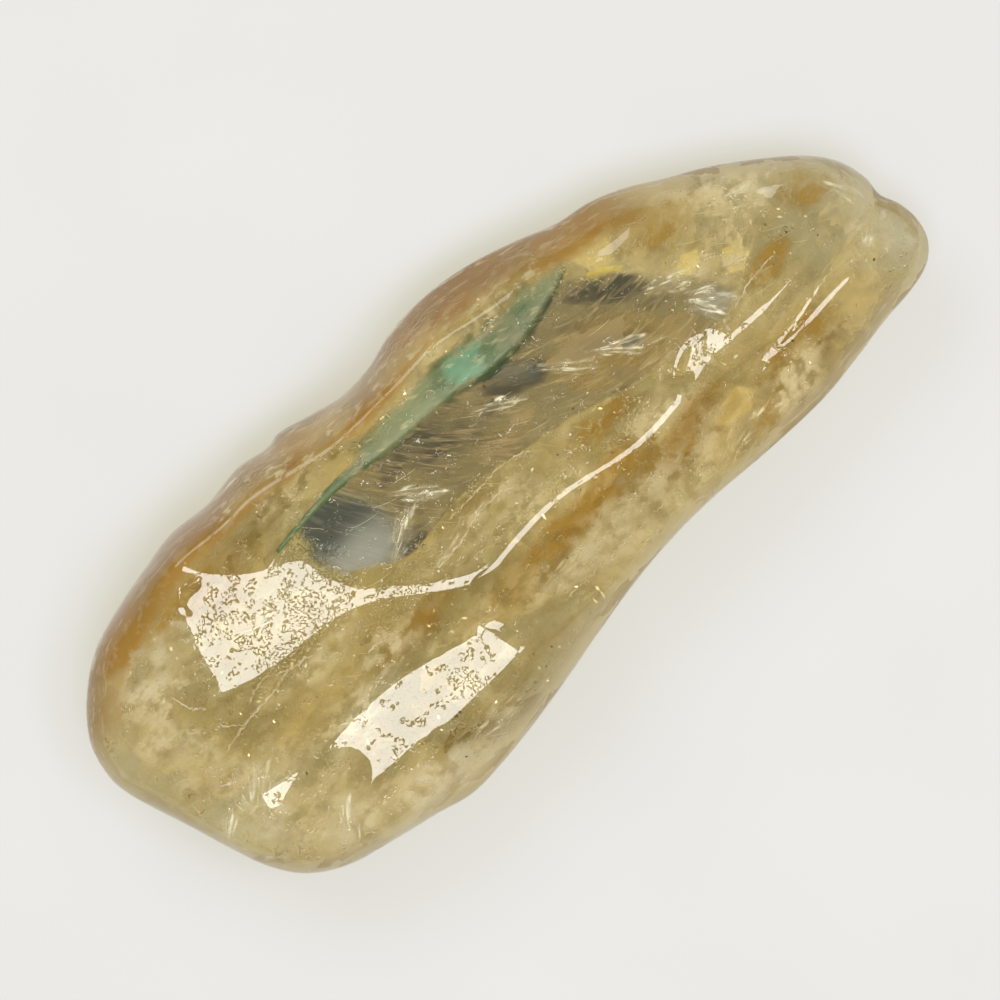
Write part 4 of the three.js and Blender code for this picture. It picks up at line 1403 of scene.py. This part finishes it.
# The table, the lamps, the pale room and the camera.
studio = {
    "tableSize": 3.0,
    "tableColour": (0.80, 0.795, 0.78),
    "tableShade": (0.76, 0.755, 0.74),
    "tableGrain": 60.0,
    "tableDrop": 0.02,  # below the stone's ground flat, so that the two never coincide
    "lamps": [  # name, place, size along, size across, power
        ("soft lamp", (-0.055, -0.075, 0.42), 0.15, 0.15, 0.78),
        ("low lamp", (0.11, -0.13, 0.42), 0.17, 0.1, 0.52),
        ("far lamp", (0.0, 0.3, 0.34), 0.3, 0.2, 0.62),
    ],
    "roomColour": (1.0, 0.985, 0.95),
    "roomStrength": 0.24,
}
view = {
    "height": 0.4,  # above the rim, in metres
    "field": 66.2,  # what the picture takes in at the rim, in millimetres
    "middle": (0.243, 0.826),
    "turn": -39.0,  # degrees: the stone's length rises from lower left to upper right
    "sensor": 36.0,
}


def makeTable(settings):
    half = settings["tableSize"] / 2
    drop = -settings["tableDrop"] * mm
    corners = [(-half, -half, drop), (half, -half, drop), (half, half, drop), (-half, half, drop)]
    mesh = bpy.data.meshes.new("table")
    mesh.from_pydata(corners, [], [(0, 1, 2, 3)])
    material, nodes, shader = newMaterial("pale table")
    grain = nodes.noise(nodes.place(), settings["tableGrain"], 1.0)
    nodes.feed(shader.inputs["Base Color"], nodes.mix(grain, settings["tableShade"], settings["tableColour"]))
    shader.inputs["Roughness"].default_value = 0.7
    shader.inputs["Specular IOR Level"].default_value = 0.2
    mesh.materials.append(material)
    table = bpy.data.objects.new("table", mesh)
    scene.collection.objects.link(table)


def makeLamp(name, place, sizeAlong, sizeAcross, power):
    lamp = bpy.data.lights.new(name, "AREA")
    lamp.shape = "RECTANGLE"
    lamp.size, lamp.size_y = sizeAlong, sizeAcross
    lamp.energy = power
    placed = bpy.data.objects.new(name, lamp)
    placed.location = place
    placed.rotation_euler = (-Vector(place)).to_track_quat("-Z", "Y").to_euler()
    scene.collection.objects.link(placed)


def makeRoom(settings):
    world = bpy.data.worlds.new("pale room")
    world.use_nodes = True
    background = world.node_tree.nodes["Background"]
    background.inputs["Color"].default_value = (*settings["roomColour"], 1)
    background.inputs["Strength"].default_value = settings["roomStrength"]
    scene.world = world


def makeCamera(settings):
    camera = bpy.data.cameras.new("camera")
    camera.sensor_width = settings["sensor"]
    camera.lens = settings["sensor"] * settings["height"] / (settings["field"] * mm)
    camera.clip_start, camera.clip_end = 0.01, 10
    placed = bpy.data.objects.new("camera", camera)
    x, y, _ = toFrame([*settings["middle"], 0])
    placed.location = (x, y, form["rimHeight"] * mm + settings["height"])
    placed.rotation_euler = (0, 0, math.radians(settings["turn"]))
    scene.collection.objects.link(placed)
    scene.camera = placed


makeTable(studio)
for lampSettings in studio["lamps"]:
    makeLamp(*lampSettings)
makeRoom(studio)
makeCamera(view)
print("stage 8: studio ready")
